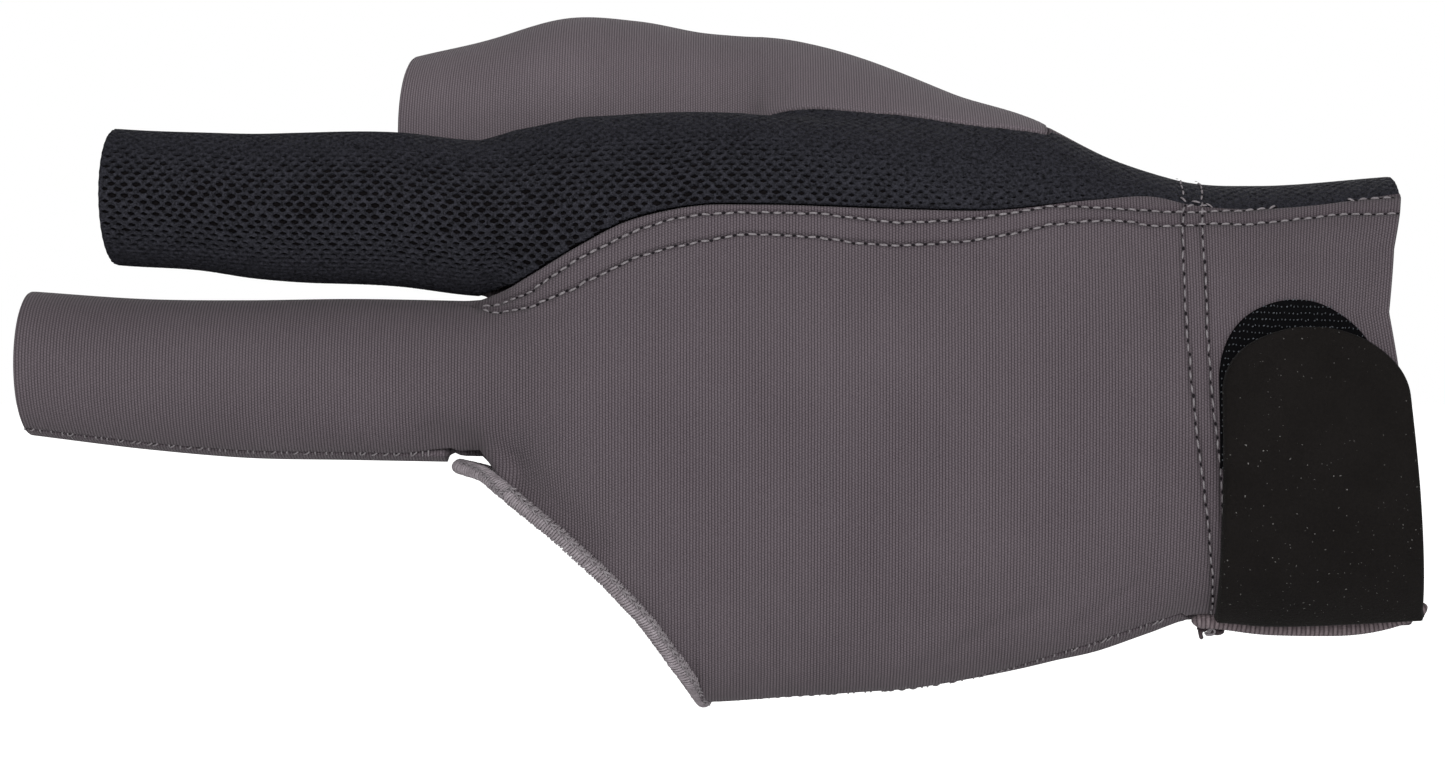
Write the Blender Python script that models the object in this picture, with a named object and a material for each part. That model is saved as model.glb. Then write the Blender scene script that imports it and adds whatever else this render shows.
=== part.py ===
"""Stretch glove for a left hand that leaves the ring and little fingers bare.

The glove keeps the form that it has on a hand: the fingers point to -X, the thumb side is
+Z, the back of the hand faces -Y and the palm +Y. The origin is the middle of the wrist
opening. A soft hand form, blended from a few limbs, carries every cloth panel. Lengths are
in metres.
"""
import math

import bpy
import numpy as np

# Lengths along the hand
PALM_LENGTH = 0.1285      # wrist edge to the web between index and middle finger
INDEX_LENGTH = 0.0525     # web to the rim of the index finger
MIDDLE_LENGTH = 0.0645    # web to the rim of the middle finger
THUMB_CROTCH = 0.0935     # wrist edge to the crotch between thumb and palm
THUMB_LENGTH = 0.0462     # crotch to the rim of the thumb
CUFF_LENGTH = 0.0290      # folded hem at the wrist

# Widths and depths
PALM_WIDTH = 0.0820
WRIST_WIDTH = 0.0634
PALM_DEPTH = 0.0300
WRIST_DEPTH = 0.0400
INDEX_WIDTH = 0.0218
MIDDLE_WIDTH = 0.0228
THUMB_WIDTH = 0.0280
FINGER_GAP = 0.0042       # between the index and middle rims
THUMB_GAP = 0.0090        # between the thumb's rim and the index finger
BLEND = 0.0080            # roundness of the valleys where limbs meet

# Cloth
CLOTH = 0.0011
HEM = 0.0020
SEAM_GAP = 0.0003
EDGE_BAND = 0.0023        # width of the overlocked edge
EDGE_THICK = 0.0021
ROLL_WIDTH = 0.0025       # rolled edge of the cuff's slit

# Strap and pad on the cuff
STRAP_WIDTH = 0.0268
STRAP_LENGTH = 0.0460     # from the slit to the round tip, along the cuff
STRAP_END = 0.0094        # length of the round end
STRAP_THICK = 0.0018
STRAP_INSET = 0.0127      # strap's middle line from the wrist edge
PAD_WIDTH = 0.0240
PAD_LENGTH = 0.0240
PAD_SHOWS = 0.0042        # how far the pad reaches past the strap's tip
PAD_THICK = 0.0013
PAD_INSET = 0.0143

GRID_STEP = 0.0062        # largest distance between two sections
MESH_COLUMNS, BACK_COLUMNS, THUMB_COLUMNS = 8, 14, 16    # faces across a panel
PALM_COLUMNS, PALM_TOP_COLUMNS = 12, 9

# Slope of a finger's rim, which stands square to the bent finger
INDEX_LEAN, MIDDLE_LEAN, THUMB_LEAN = 0.10, 0.09, 0.17
LEAN_LENGTH = 0.025       # length over which a section turns into its leaning rim

# Reach is 0 at the wrist edge, 1 at the web or crotch and 2 at a finger's rim
BODY = (
    # reach, top, bottom, half depth, exponent: shares of the width and depth there
    (-0.070, 0.520, -0.489, 0.505, 2.15),
    (0.000, 0.511, -0.489, 0.500, 2.15),
    (0.150, 0.490, -0.489, 0.495, 2.15),
    (0.225, 0.495, -0.476, 0.483, 2.20),
    (0.265, 0.513, -0.504, 0.459, 2.20),
    (0.320, 0.523, -0.523, 0.440, 2.30),
    (0.375, 0.518, -0.513, 0.448, 2.40),
    (0.480, 0.466, -0.490, 0.494, 2.50),
    (0.645, 0.463, -0.499, 0.500, 2.60),
    (0.763, 0.463, -0.510, 0.493, 2.60),
    (0.880, 0.449, -0.500, 0.473, 2.50),
    (0.940, 0.439, -0.476, 0.340, 2.30),
    (0.970, 0.425, -0.440, 0.200, 2.20),
    (1.004, 0.390, -0.340, 0.010, 2.00),
)
WRIST_ENDS, PALM_STARTS = 0.25, 0.55    # reach over which wrist sizes turn into palm sizes
MIDDLE = (
    # reach, height, radius, bend: shares of the palm's width, half the finger's width, and the palm's depth
    (0.000, 0.012, 0.60, 0.000),
    (0.480, 0.030, 0.90, 0.000),
    (0.763, 0.037, 1.00, 0.000),
    (1.000, 0.0415, 1.00, 0.000),
    (1.290, 0.0457, 1.00, 0.020),
    (1.510, 0.0463, 0.982, 0.055),
    (1.730, 0.0543, 0.939, 0.105),
    (2.000, 0.0740, 0.900, 0.175),
)
INDEX = (
    # reach, gap to the middle finger, radius, bend
    (0.000, 1.20, 0.40, 0.000),
    (0.300, 0.60, 0.60, 0.000),
    (0.480, 0.20, 0.95, 0.000),
    (0.763, 0.33, 1.05, 0.000),
    (1.000, 0.17, 1.01, 0.000),
    (1.220, 0.43, 1.00, 0.012),
    (1.490, 0.58, 0.972, 0.048),
    (1.620, 0.74, 0.940, 0.072),
    (1.760, 1.00, 0.900, 0.100),
    (2.000, 1.10, 0.890, 0.150),
)
THUMB = (
    # reach, gap to the index finger, depth sunk into the palm, radius, degrees above the palm's direction
    (0.000, 0.00, 0.250, 0.30, -60.0),
    (0.300, 0.00, 0.400, 0.50, -60.0),
    (0.406, 0.00, 0.500, 0.78, -22.0),
    (0.513, 0.00, 0.568, 1.036, 10.0),
    (0.659, 0.00, 0.395, 1.071, 23.5),
    (0.888, 0.00, 0.120, 1.107, 28.0),
    (1.000, 0.43, 0.000, 1.020, 26.0),
    (1.076, 0.60, 0.000, 1.000, 26.0),
    (1.290, 0.68, 0.000, 1.000, 29.0),
    (1.509, 0.73, 0.000, 0.979, 31.4),
    (1.747, 0.98, 0.000, 0.914, 27.0),
    (2.000, 1.00, 0.000, 0.843, 22.0),
)
RING_RADIUS = 0.92        # the bare ring finger's share of the middle finger's width
RING_GAP = 0.10
RING_CROTCH = 1.070       # reach of the crotch between middle and ring finger
OPENING_END = 0.763       # reach where the opening meets the little-finger side

# Seams, as degrees round the finger that carries them: 0 the back of the hand, 90 the thumb side
INDEX_TOP_SEAM = (
    # reach, degrees
    (0.000, 92.0), (0.225, 92.0), (0.300, 91.0), (0.374, 88.0), (0.7276, 152.0), (0.760, 148.0),
    (0.860, 125.0), (1.000, 105.0), (2.000, 95.0),
)
INDEX_LOW_SEAM, MIDDLE_TOP_SEAM, MIDDLE_LOW_SEAM = -95.0, 95.0, -66.0

# Seams beside the thumb, as degrees from the direction in which it stands off the index finger
THUMB_BACK_SEAM = 90.0
THUMB_PALM_SEAM = (
    # reach, degrees
    (0.374, 78.0), (0.400, 50.0), (0.430, 12.0), (0.460, -22.0), (0.500, -54.0), (0.550, -76.0),
    (0.600, -84.0), (0.690, -80.0), (0.7276, -72.0),
)
LITTLE_SIDE_SEAM = (
    # reach, degrees round the middle finger's line
    (-0.070, -83.0), (0.226, -83.0), (0.234, -77.5), (0.310, -79.0), (0.380, -82.0), (0.500, -88.0),
    (0.763, -92.0),
)
SLIT_ANGLE = -83.0        # middle of the slit's rolled edge
PATCH_ANGLE = 75.0        # upper end of the cuff's part that carries the strap
MESH_SEAM = (
    # reach, height above the middle line as a share of the palm's width
    (0.000, 0.361), (0.110, 0.338), (0.165, 0.334), (0.230, 0.342), (0.265, 0.355), (0.330, 0.351),
    (0.440, 0.333), (0.550, 0.335), (0.700, 0.342), (0.763, 0.340), (0.800, 0.330), (0.840, 0.312),
    (0.890, 0.272), (0.945, 0.222), (0.985, 0.190), (1.000, 0.186),
)
OPENING = (
    # reach, height of the overlocked edge as a share of the palm's width
    (0.763, -0.519), (0.778, -0.472), (0.825, -0.368), (0.864, -0.302), (0.918, -0.226), (1.000, -0.127),
    (1.050, -0.100), (1.070, -0.094),
)
WELD = (
    # reach, height of the line on which the palm panel's two halves join
    (0.00, 0.070), (0.60, 0.090), (0.85, 0.135), (1.00, 0.186),
)
THUMB_PANEL_END = 0.374


def row_columns(rows):
    return [np.array(column) for column in zip(*rows)]


def smooth(xs, ys, x):
    """Cubic curve through the rows of a table."""
    slopes = np.gradient(ys, xs)
    i = np.clip(np.searchsorted(xs, x) - 1, 0, len(xs) - 2)
    width = xs[i + 1] - xs[i]
    t = np.clip((x - xs[i]) / width, 0.0, 1.0)
    start, end = ys[i], ys[i + 1]
    return (start * (2 * t**3 - 3 * t**2 + 1) + end * (3 * t**2 - 2 * t**3)
            + slopes[i] * width * (t**3 - 2 * t**2 + t) + slopes[i + 1] * width * (t**3 - t**2))


def read(rows, column, reach):
    columns = row_columns(rows)
    return smooth(columns[0], columns[column], reach)


def reach_to_x(reach, web=PALM_LENGTH, finger=MIDDLE_LENGTH):
    return -(web * np.minimum(reach, 1.0) + finger * np.maximum(reach - 1.0, 0.0))


def x_to_reach(x, web=PALM_LENGTH, finger=MIDDLE_LENGTH):
    return np.where(-x <= web, -x / web, 1.0 + (-x - web) / finger)


def part_way(reach):
    t = np.clip((reach - WRIST_ENDS) / (PALM_STARTS - WRIST_ENDS), 0.0, 1.0)
    return t * t * (3 - 2 * t)


class Limb:
    """A round or flattened limb: its middle line, half depth, half width and exponent along X."""

    def __init__(self, x, y, z, half_depth, half_width, exponent):
        order = np.argsort(x)
        self.x = x[order]
        self.values = [np.broadcast_to(v, x.shape)[order] for v in (y, z, half_depth, half_width, exponent)]

    def at(self, x):
        return [np.interp(x, self.x, v) for v in self.values]

    def outside(self, x, y, z):
        yc, zc, ry, rz, power = self.at(x)
        inner = (np.abs(y - yc) / ry) ** power + (np.abs(z - zc) / rz) ** power
        distance = (inner ** (1 / power) - 1.0) * np.minimum(ry, rz)
        return np.where((x < self.x[0]) | (x > self.x[-1]), 1.0, distance)


def make_limbs():
    dense = np.linspace(0.0, 2.08, 167)
    reach = np.concatenate([np.linspace(BODY[0][0], 0.9, 80), np.linspace(0.905, BODY[-1][0], 40)])
    width = WRIST_WIDTH + (PALM_WIDTH - WRIST_WIDTH) * part_way(reach)
    depth = WRIST_DEPTH + (PALM_DEPTH - WRIST_DEPTH) * part_way(reach)
    top, bottom = read(BODY, 1, reach) * width, read(BODY, 2, reach) * width
    half_depth, exponent = read(BODY, 3, reach) * depth, read(BODY, 4, reach)
    body = Limb(reach_to_x(reach), 0.0, (top + bottom) / 2, half_depth, (top - bottom) / 2, exponent)
    z = read(MIDDLE, 1, dense) * PALM_WIDTH
    r = read(MIDDLE, 2, dense) * MIDDLE_WIDTH / 2
    bend = read(MIDDLE, 3, dense) * PALM_DEPTH
    middle = Limb(reach_to_x(dense), bend, z, r, r, 2.0)
    ring_ends = dense <= 1.3
    ring_z = z - r * (1 + RING_RADIUS) - RING_GAP * FINGER_GAP
    ring_r = r[ring_ends] * RING_RADIUS
    ring = Limb(reach_to_x(dense[ring_ends]), bend[ring_ends], ring_z[ring_ends], ring_r, ring_r, 2.0)
    index_x = reach_to_x(dense, PALM_LENGTH, INDEX_LENGTH)
    middle_y, middle_z, middle_r, _, _ = middle.at(index_x)
    index_r = read(INDEX, 2, dense) * INDEX_WIDTH / 2
    index_z = middle_z + middle_r + read(INDEX, 1, dense) * FINGER_GAP + index_r
    index = Limb(index_x, read(INDEX, 3, dense) * PALM_DEPTH, index_z, index_r, index_r, 2.0)
    thumb_x = reach_to_x(dense, THUMB_CROTCH, THUMB_LENGTH)
    index_y, index_z, index_r, _, _ = index.at(thumb_x)
    thumb_r = read(THUMB, 3, dense) * THUMB_WIDTH / 2
    away = index_r + thumb_r + read(THUMB, 1, dense) * THUMB_GAP - read(THUMB, 2, dense) * THUMB_WIDTH
    angle = np.radians(read(THUMB, 4, dense))
    thumb_y, thumb_z = index_y + away * np.cos(angle), index_z + away * np.sin(angle)
    thumb = Limb(thumb_x, thumb_y, thumb_z, thumb_r, thumb_r, 2.0)
    return {"body": body, "index": index, "middle": middle, "ring": ring, "thumb": thumb}


LIMBS = make_limbs()
HAND = ("body", "index", "middle", "ring")
BLEND_RAMP = 0.014        # distance over which a valley reaches its full roundness


def outside(names, x, y, z):
    """Signed distance, roughly, from the blended form of the named limbs."""
    total = None
    blend = BLEND * np.clip(0.25 + (x + PALM_LENGTH) / BLEND_RAMP * 0.75, 0.25, 1.0)
    for name in names:
        one = LIMBS[name].outside(x, y, z)
        if total is None:
            total = one
            continue
        h = np.maximum(blend - np.abs(total - one), 0.0) / blend
        total = np.minimum(total, one) - h * h * blend / 4
    return total


def cast(names, start, direction, far, steps=130):
    """Distance from each start along each direction to the first crossing of the surface."""
    t = np.linspace(0.0, far, steps)
    points = start[..., None, :] + direction[..., None, :] * t[:, None]
    values = outside(names, points[..., 0], points[..., 1], points[..., 2])
    crossed = np.sign(values) != np.sign(values[..., :1])
    first = np.where(crossed.any(-1), crossed.argmax(-1), steps - 1)
    low, high = t[first - 1], t[first]
    sign = np.sign(values[..., 0])
    for _ in range(18):
        middle = (low + high) / 2
        p = start + direction * middle[..., None]
        same = np.sign(outside(names, p[..., 0], p[..., 1], p[..., 2])) == sign
        low, high = np.where(same, middle, low), np.where(same, high, middle)
    return (low + high) / 2


def normals(names, points, step=0.0002):
    parts = []
    for axis in range(3):
        shift = np.zeros(3)
        shift[axis] = step
        a, b = np.moveaxis(points + shift, -1, 0), np.moveaxis(points - shift, -1, 0)
        parts.append(outside(names, *a) - outside(names, *b))
    normal = np.stack(parts, -1)
    return normal / np.maximum(np.linalg.norm(normal, axis=-1, keepdims=True), 1e-9)


def around(limb, names, x, degrees):
    """Surface point at an angle round a limb's middle line."""
    y, z = LIMBS[limb].at(x)[:2]
    a = np.radians(degrees)
    start = np.stack([x + 0 * a, y + 0 * a, z + 0 * a], -1)
    way = np.stack([0 * a, -np.cos(a), np.sin(a)], -1)
    return start + way * cast(names, start, way, 0.75 * PALM_WIDTH)[..., None]


def from_side(names, x, z, side):
    """First surface point met at a height, from the back of the hand (-1) or from the palm (1)."""
    start = np.stack([x, np.full_like(x, side * WRIST_DEPTH), z], -1)
    way = np.broadcast_to(np.array([0.0, -side, 0.0]), start.shape)
    return start + way * cast(names, start, way, WRIST_DEPTH)[..., None]


def strip(limb, names, x, first, last, sense, columns, insets, lean=0.0):
    """One row of surface points from one seam to the next, evenly spaced, at each x."""
    y, z = LIMBS[limb].at(x)[:2]
    a = np.arctan2(first[:, 2] - z, -(first[:, 1] - y))
    b = np.arctan2(last[:, 2] - z, -(last[:, 1] - y))
    turn = np.mod(sense * (b - a), 2 * np.pi)
    turn = np.where(turn < 0.02, 2 * np.pi, turn)
    rays = 4 * columns + 1
    angle = a[:, None] + sense * turn[:, None] * np.linspace(0.0, 1.0, rays)
    lean = np.broadcast_to(lean, x.shape)[:, None]
    start = np.stack([x[:, None] + 0 * angle, y[:, None] + 0 * angle, z[:, None] + 0 * angle], -1)
    way = np.stack([-lean * np.cos(angle), -np.cos(angle), np.sin(angle)], -1)
    line = start + way * cast(names, start, way, 0.75 * PALM_WIDTH)[..., None]
    step = np.linalg.norm(np.diff(line, axis=1), axis=-1)
    length = np.concatenate([np.zeros((len(x), 1)), np.cumsum(step, 1)], 1)
    out = np.empty((len(x), columns + 1, 3))
    for i in range(len(x)):
        spare = min(1.0, 0.3 * length[i, -1] / max(insets[0][i] + insets[1][i], 1e-9))
        s = np.linspace(insets[0][i] * spare, length[i, -1] - insets[1][i] * spare, columns + 1)
        for axis in range(3):
            out[i, :, axis] = np.interp(s, length[i], line[i, :, axis])
    return out


def stations(keys, length):
    """Reach values from key to key, in even steps no longer than the grid's."""
    values = [keys[0]]
    for a, b in zip(keys, keys[1:]):
        count = max(1, math.ceil((b - a) * length / GRID_STEP - 0.01))
        values += [a + (b - a) * (i + 1) / count for i in range(count)]
    return np.array(values)


def material(name, colour, roughness):
    made = bpy.data.materials.new(name)
    made.use_nodes = True
    shader = made.node_tree.nodes["Principled BSDF"]
    shader.inputs["Base Color"].default_value = (*colour, 1.0)
    shader.inputs["Roughness"].default_value = roughness
    return made


def add_object(name, vertices, faces, look):
    mesh = bpy.data.meshes.new(name)
    mesh.from_pydata([tuple(v) for v in vertices], [], faces)
    mesh.materials.append(look)
    mesh.shade_smooth()
    mesh.set_sharp_from_angle(angle=math.radians(50))
    made = bpy.data.objects.new(name, mesh)
    bpy.context.scene.collection.objects.link(made)
    return made


def cloth_solid(name, points, directions, thickness, quads, look):
    """Closed wall from a sheet of quads: the points are its outer face, and it goes in along its normals."""
    count = len(points)
    inner = points - directions * np.reshape(thickness, (-1, 1))
    faces = [tuple(q) for q in quads] + [tuple(i + count for i in reversed(q)) for q in quads]
    sides = {}
    for q in quads:
        for a, b in zip(q, q[1:] + q[:1]):
            sides[(a, b)] = True
    faces += [(b, a, a + count, b + count) for a, b in sides if (b, a) not in sides]
    return add_object(name, np.concatenate([points, inner]), faces, look)


def grid_quads(rows, columns, first=0, flip=False):
    quads = []
    for i in range(rows - 1):
        for j in range(columns - 1):
            a = first + i * columns + j
            quad = (a, a + 1, a + columns + 1, a + columns)
            quads.append(tuple(reversed(quad)) if flip else quad)
    return quads


HAND_AND_THUMB = HAND + ("thumb",)
RING_CROTCH_X = -(PALM_LENGTH + (RING_CROTCH - 1.0) * MIDDLE_LENGTH)
CUFF_REACH = CUFF_LENGTH / PALM_LENGTH
CROTCH_REACH = THUMB_CROTCH / PALM_LENGTH
NEAR = 1e-6


def limbs_at(x, finger):
    """Limbs that form the surface of a finger's side of the glove at a section."""
    if x <= -PALM_LENGTH + NEAR:
        if finger == "middle" and x > RING_CROTCH_X + NEAR:
            return ("middle", "ring")
        return (finger,)
    if x <= -THUMB_CROTCH + NEAR:
        return (finger,) if finger == "thumb" else HAND
    return HAND_AND_THUMB


def opening_line(shift):
    """The opening's edge, moved into the cloth by a distance: x and z, up to the fingers' web."""
    reach, height = row_columns(OPENING)
    x, z = reach_to_x(reach), height * PALM_WIDTH
    dx, dz = np.gradient(x), np.gradient(z)
    length = np.hypot(dx, dz)
    return x + dz / length * shift, z - dx / length * shift


def edge_z(x, shift):
    line_x, line_z = opening_line(shift)
    return float(np.interp(x, line_x[::-1], line_z[::-1]))


ROLL_OUT = 0.0004
CLOTH_SHIFT = EDGE_BAND + SEAM_GAP
OPENING_X = float(opening_line(CLOTH_SHIFT)[0].max())


def point_around(finger, names, x, degrees):
    return around(finger, names, np.array([x]), np.array([degrees]))[0]


def point_from_side(names, x, z, side):
    return from_side(names, np.array([x]), np.array([z]), side)[0]


def angle_at(table, x):
    reach, degrees = row_columns(table)
    own = x_to_reach(np.array(x), PALM_LENGTH, INDEX_LENGTH)
    return float(np.interp(own, reach, degrees))


def beside_thumb(x, degrees):
    """Surface point met from the neck between thumb and palm, at an angle from the thumb's direction."""
    thumb_y, thumb_z, _, thumb_r, _ = LIMBS["thumb"].at(x)
    index_y, index_z, _, index_r, _ = LIMBS["index"].at(x)
    apart = math.hypot(thumb_y - index_y, thumb_z - index_z)
    towards = math.atan2(thumb_z - index_z, thumb_y - index_y)
    reach = (apart + index_r - thumb_r) / 2
    start = np.array([x, index_y + reach * math.cos(towards), index_z + reach * math.sin(towards)])
    turned = towards + math.radians(degrees)
    way = np.array([0.0, math.cos(turned), math.sin(turned)])
    return start + way * cast(HAND_AND_THUMB, start[None], way[None], 0.75 * PALM_WIDTH)[0]


def beside_palm(x):
    """Whether the thumb panel lies open between the mesh and the palm here."""
    return -THUMB_CROTCH + NEAR < x < -THUMB_PANEL_END * PALM_LENGTH + NEAR


def index_top(x):
    if beside_palm(x):
        return beside_thumb(x, THUMB_BACK_SEAM)
    return point_around("index", limbs_at(x, "index"), x, angle_at(INDEX_TOP_SEAM, x))


def thumb_palm_edge(x):
    return beside_thumb(x, angle_at(THUMB_PALM_SEAM, x))


def index_low(x):
    return point_around("index", limbs_at(x, "index"), x, INDEX_LOW_SEAM)


def middle_top(x):
    return point_around("middle", limbs_at(x, "middle"), x, MIDDLE_TOP_SEAM)


def mesh_edge(x):
    """Seam between the mesh and the back panel."""
    reach, height = row_columns(MESH_SEAM)
    z = float(smooth(reach, height, -x / PALM_LENGTH)) * PALM_WIDTH
    return point_from_side(limbs_at(x, "index"), x, z, -1)


def weld_edge(x):
    """Line down the palm on which the palm panel's two halves meet."""
    reach, height = row_columns(WELD)
    z = float(np.interp(-x / PALM_LENGTH, reach, height)) * PALM_WIDTH
    return point_from_side(limbs_at(x, "index"), x, z, 1)


def little_edge(x, side):
    """Lower edge of the back (-1) or palm (1): finger seam, opening, little-finger side's seam."""
    names = limbs_at(x, "middle")
    if x < RING_CROTCH_X + NEAR:
        return point_around("middle", names, x, MIDDLE_LOW_SEAM)
    if x < OPENING_X + NEAR:
        return point_from_side(names, x, edge_z(x, CLOTH_SHIFT), side)
    reach, degrees = row_columns(LITTLE_SIDE_SEAM)
    return point_around("middle", names, x, float(np.interp(-x / PALM_LENGTH, reach, degrees)))


def rows_of(finger, xs, first, last, sense, columns, insets, rim_x, slope):
    """Points and normals of a panel: a row from its first seam to its last at each section."""
    points, directions = [], []
    for x in xs:
        names = limbs_at(x, finger)
        tilt = slope * max(0.0, 1.0 - (x - rim_x) / LEAN_LENGTH)
        row = strip(finger, names, np.array([x]), first(x)[None], last(x)[None], sense, columns,
                    [[insets[0](x)], [insets[1](x)]], tilt)
        points.append(row[0])
        directions.append(normals(names, row[0]))
    return np.array(points), np.array(directions)


def seam_inset(x):
    return SEAM_GAP / 2


def little_inset(x):
    """Room for the slit's rolled edge along the cuff."""
    return ROLL_WIDTH / 2 + SEAM_GAP if x > -CUFF_LENGTH - NEAR else SEAM_GAP / 2


def petal_inset(x):
    """Wider along a section where the petal's seam runs across the sections."""
    return SEAM_GAP if beside_palm(x) and x > -0.55 * PALM_LENGTH else SEAM_GAP / 2


PETAL_KEYS = {THUMB_PANEL_END + 0.018 * i for i in range(8)}
OPENING_REACH = -OPENING_X / PALM_LENGTH
PALM_KEYS = sorted(PETAL_KEYS | {
    0.0, CUFF_REACH - 0.006, CUFF_REACH, CROTCH_REACH - 0.045, CROTCH_REACH - 0.012, CROTCH_REACH,
    OPENING_REACH - 0.003, OPENING_REACH, 0.965, 0.987, 0.996, 1.0,
})
PALM_X = reach_to_x(stations(PALM_KEYS, PALM_LENGTH))
INDEX_X = reach_to_x(stations([1.0, 2.0], INDEX_LENGTH)[1:], PALM_LENGTH, INDEX_LENGTH)
MIDDLE_X = reach_to_x(stations([1.0, 1.04, RING_CROTCH - 0.004, RING_CROTCH, 2.0], MIDDLE_LENGTH)[1:])
THUMB_X = reach_to_x(stations([1.0, 2.0], THUMB_LENGTH)[1:], THUMB_CROTCH, THUMB_LENGTH)
INDEX_RIM, MIDDLE_RIM, THUMB_RIM = INDEX_X[-1], MIDDLE_X[-1], THUMB_X[-1]


def thickness(points):
    """Cloth, doubled where the cuff is folded."""
    return np.where(points[:, 0] > -CUFF_LENGTH - NEAR, HEM, CLOTH)


def add_panel(name, points, directions, look, flip):
    rows, columns = points.shape[:2]
    flat = points.reshape(-1, 3)
    quads = grid_quads(rows, columns, 0, flip)
    return cloth_solid(name, flat, directions.reshape(-1, 3), thickness(flat), quads, look)


def on_finger(x):
    return x <= -PALM_LENGTH + NEAR


def mesh_low(x):
    return index_low(x) if on_finger(x) else mesh_edge(x)


def back_high(x):
    return middle_top(x) if on_finger(x) else mesh_edge(x)


def back_low(x):
    return little_edge(x, -1)


def palm_low(x):
    return little_edge(x, 1)


def weld_below(x):
    return middle_top(x) if on_finger(x) else weld_edge(x)


def weld_above(x):
    return index_low(x) if on_finger(x) else weld_edge(x)


def palm_high(x):
    return thumb_palm_edge(x) if beside_palm(x) else index_top(x)


def weld_inset(x):
    return SEAM_GAP / 2 if on_finger(x) else 0.0


def mesh_panel(look):
    points, directions = rows_of("index", np.concatenate([PALM_X, INDEX_X]), index_top, mesh_low, -1,
                                 MESH_COLUMNS, (seam_inset, seam_inset), INDEX_RIM, INDEX_LEAN)
    return add_panel("mesh_panel", points, directions, look, True)


def back_panel(look):
    points, directions = rows_of("middle", np.concatenate([PALM_X, MIDDLE_X]), back_high, back_low, -1,
                                 BACK_COLUMNS, (seam_inset, little_inset), MIDDLE_RIM, MIDDLE_LEAN)
    return add_panel("back_panel", points, directions, look, True)


def palm_panel(look):
    """Two halves, for the middle and the index finger, that share their points along the weld."""
    lower, lower_n = rows_of("middle", np.concatenate([PALM_X, MIDDLE_X]), palm_low, weld_below, -1,
                             PALM_COLUMNS, (little_inset, weld_inset), MIDDLE_RIM, MIDDLE_LEAN)
    upper, upper_n = rows_of("index", np.concatenate([PALM_X, INDEX_X]), weld_above, palm_high, -1,
                             PALM_TOP_COLUMNS, (weld_inset, petal_inset), INDEX_RIM, INDEX_LEAN)
    points = np.concatenate([lower.reshape(-1, 3), upper.reshape(-1, 3)])
    directions = np.concatenate([lower_n.reshape(-1, 3), upper_n.reshape(-1, 3)])
    quads = grid_quads(len(lower), lower.shape[1], 0, True)
    base = len(lower) * lower.shape[1]
    same = {}
    for i in range(len(PALM_X) - 1):
        same[base + i * upper.shape[1]] = (i + 1) * lower.shape[1] - 1
    quads += [tuple(same.get(v, v) for v in q) for q in grid_quads(len(upper), upper.shape[1], base, True)]
    return cloth_solid("palm_panel", points, directions, thickness(points), quads, look)


def in_tube(x):
    return x <= -THUMB_CROTCH + NEAR


def thumb_slit(x):
    """Where the thumb's tube is sewn shut, on the side of the index finger."""
    y, z = LIMBS["thumb"].at(x)[:2]
    index_y, index_z = LIMBS["index"].at(x)[:2]
    towards = math.degrees(math.atan2(index_z - z, -(index_y - y)))
    return point_around("thumb", ("thumb",), x, towards)


def thumb_front(x):
    return thumb_slit(x) if in_tube(x) else index_top(x)


def thumb_back(x):
    return thumb_slit(x) if in_tube(x) else thumb_palm_edge(x)


def thumb_panel(look):
    beside = PALM_X[(PALM_X < -THUMB_PANEL_END * PALM_LENGTH + NEAR) & (PALM_X > -THUMB_CROTCH - NEAR)]
    points, directions = rows_of("thumb", np.concatenate([beside, THUMB_X]), thumb_front, thumb_back, 1,
                                 THUMB_COLUMNS, (seam_inset, petal_inset), THUMB_RIM, THUMB_LEAN)
    return add_panel("thumb_panel", points, directions, look, False)


def ring_solid(name, centres, across, outward, width, height, sides, closed, look):
    """Round-edged band of an oval section that follows a line of centres."""
    turns = np.linspace(0, 2 * np.pi, sides, endpoint=False)
    rows = [c + a * width / 2 * math.cos(t) + o * height / 2 * math.sin(t)
            for c, a, o in zip(centres, across, outward) for t in turns]
    count = len(centres)
    faces = []
    for i in range(count if closed else count - 1):
        for j in range(sides):
            a, b = i * sides + j, i * sides + (j + 1) % sides
            c, d = ((i + 1) % count) * sides + (j + 1) % sides, ((i + 1) % count) * sides + j
            faces.append((a, b, c, d))
    if not closed:
        faces.append(tuple(range(sides))[::-1])
        faces.append(tuple((count - 1) * sides + j for j in range(sides)))
    return add_object(name, rows, faces, look)


def even_line(points, count, closed):
    points = np.array(points)
    if closed:
        points = np.concatenate([points, points[:1]])
    length = np.concatenate([[0.0], np.cumsum(np.linalg.norm(np.diff(points, axis=0), axis=1))])
    s = np.linspace(0.0, length[-1], count + 1 if closed else count)
    line = np.stack([np.interp(s, length, points[:, k]) for k in range(3)], -1)
    return line[:-1] if closed else line


def along(line, closed):
    ahead = np.roll(line, -1, 0) - np.roll(line, 1, 0)
    if not closed:
        ahead[0], ahead[-1] = line[1] - line[0], line[-1] - line[-2]
    return ahead / np.linalg.norm(ahead, axis=1, keepdims=True)


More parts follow.
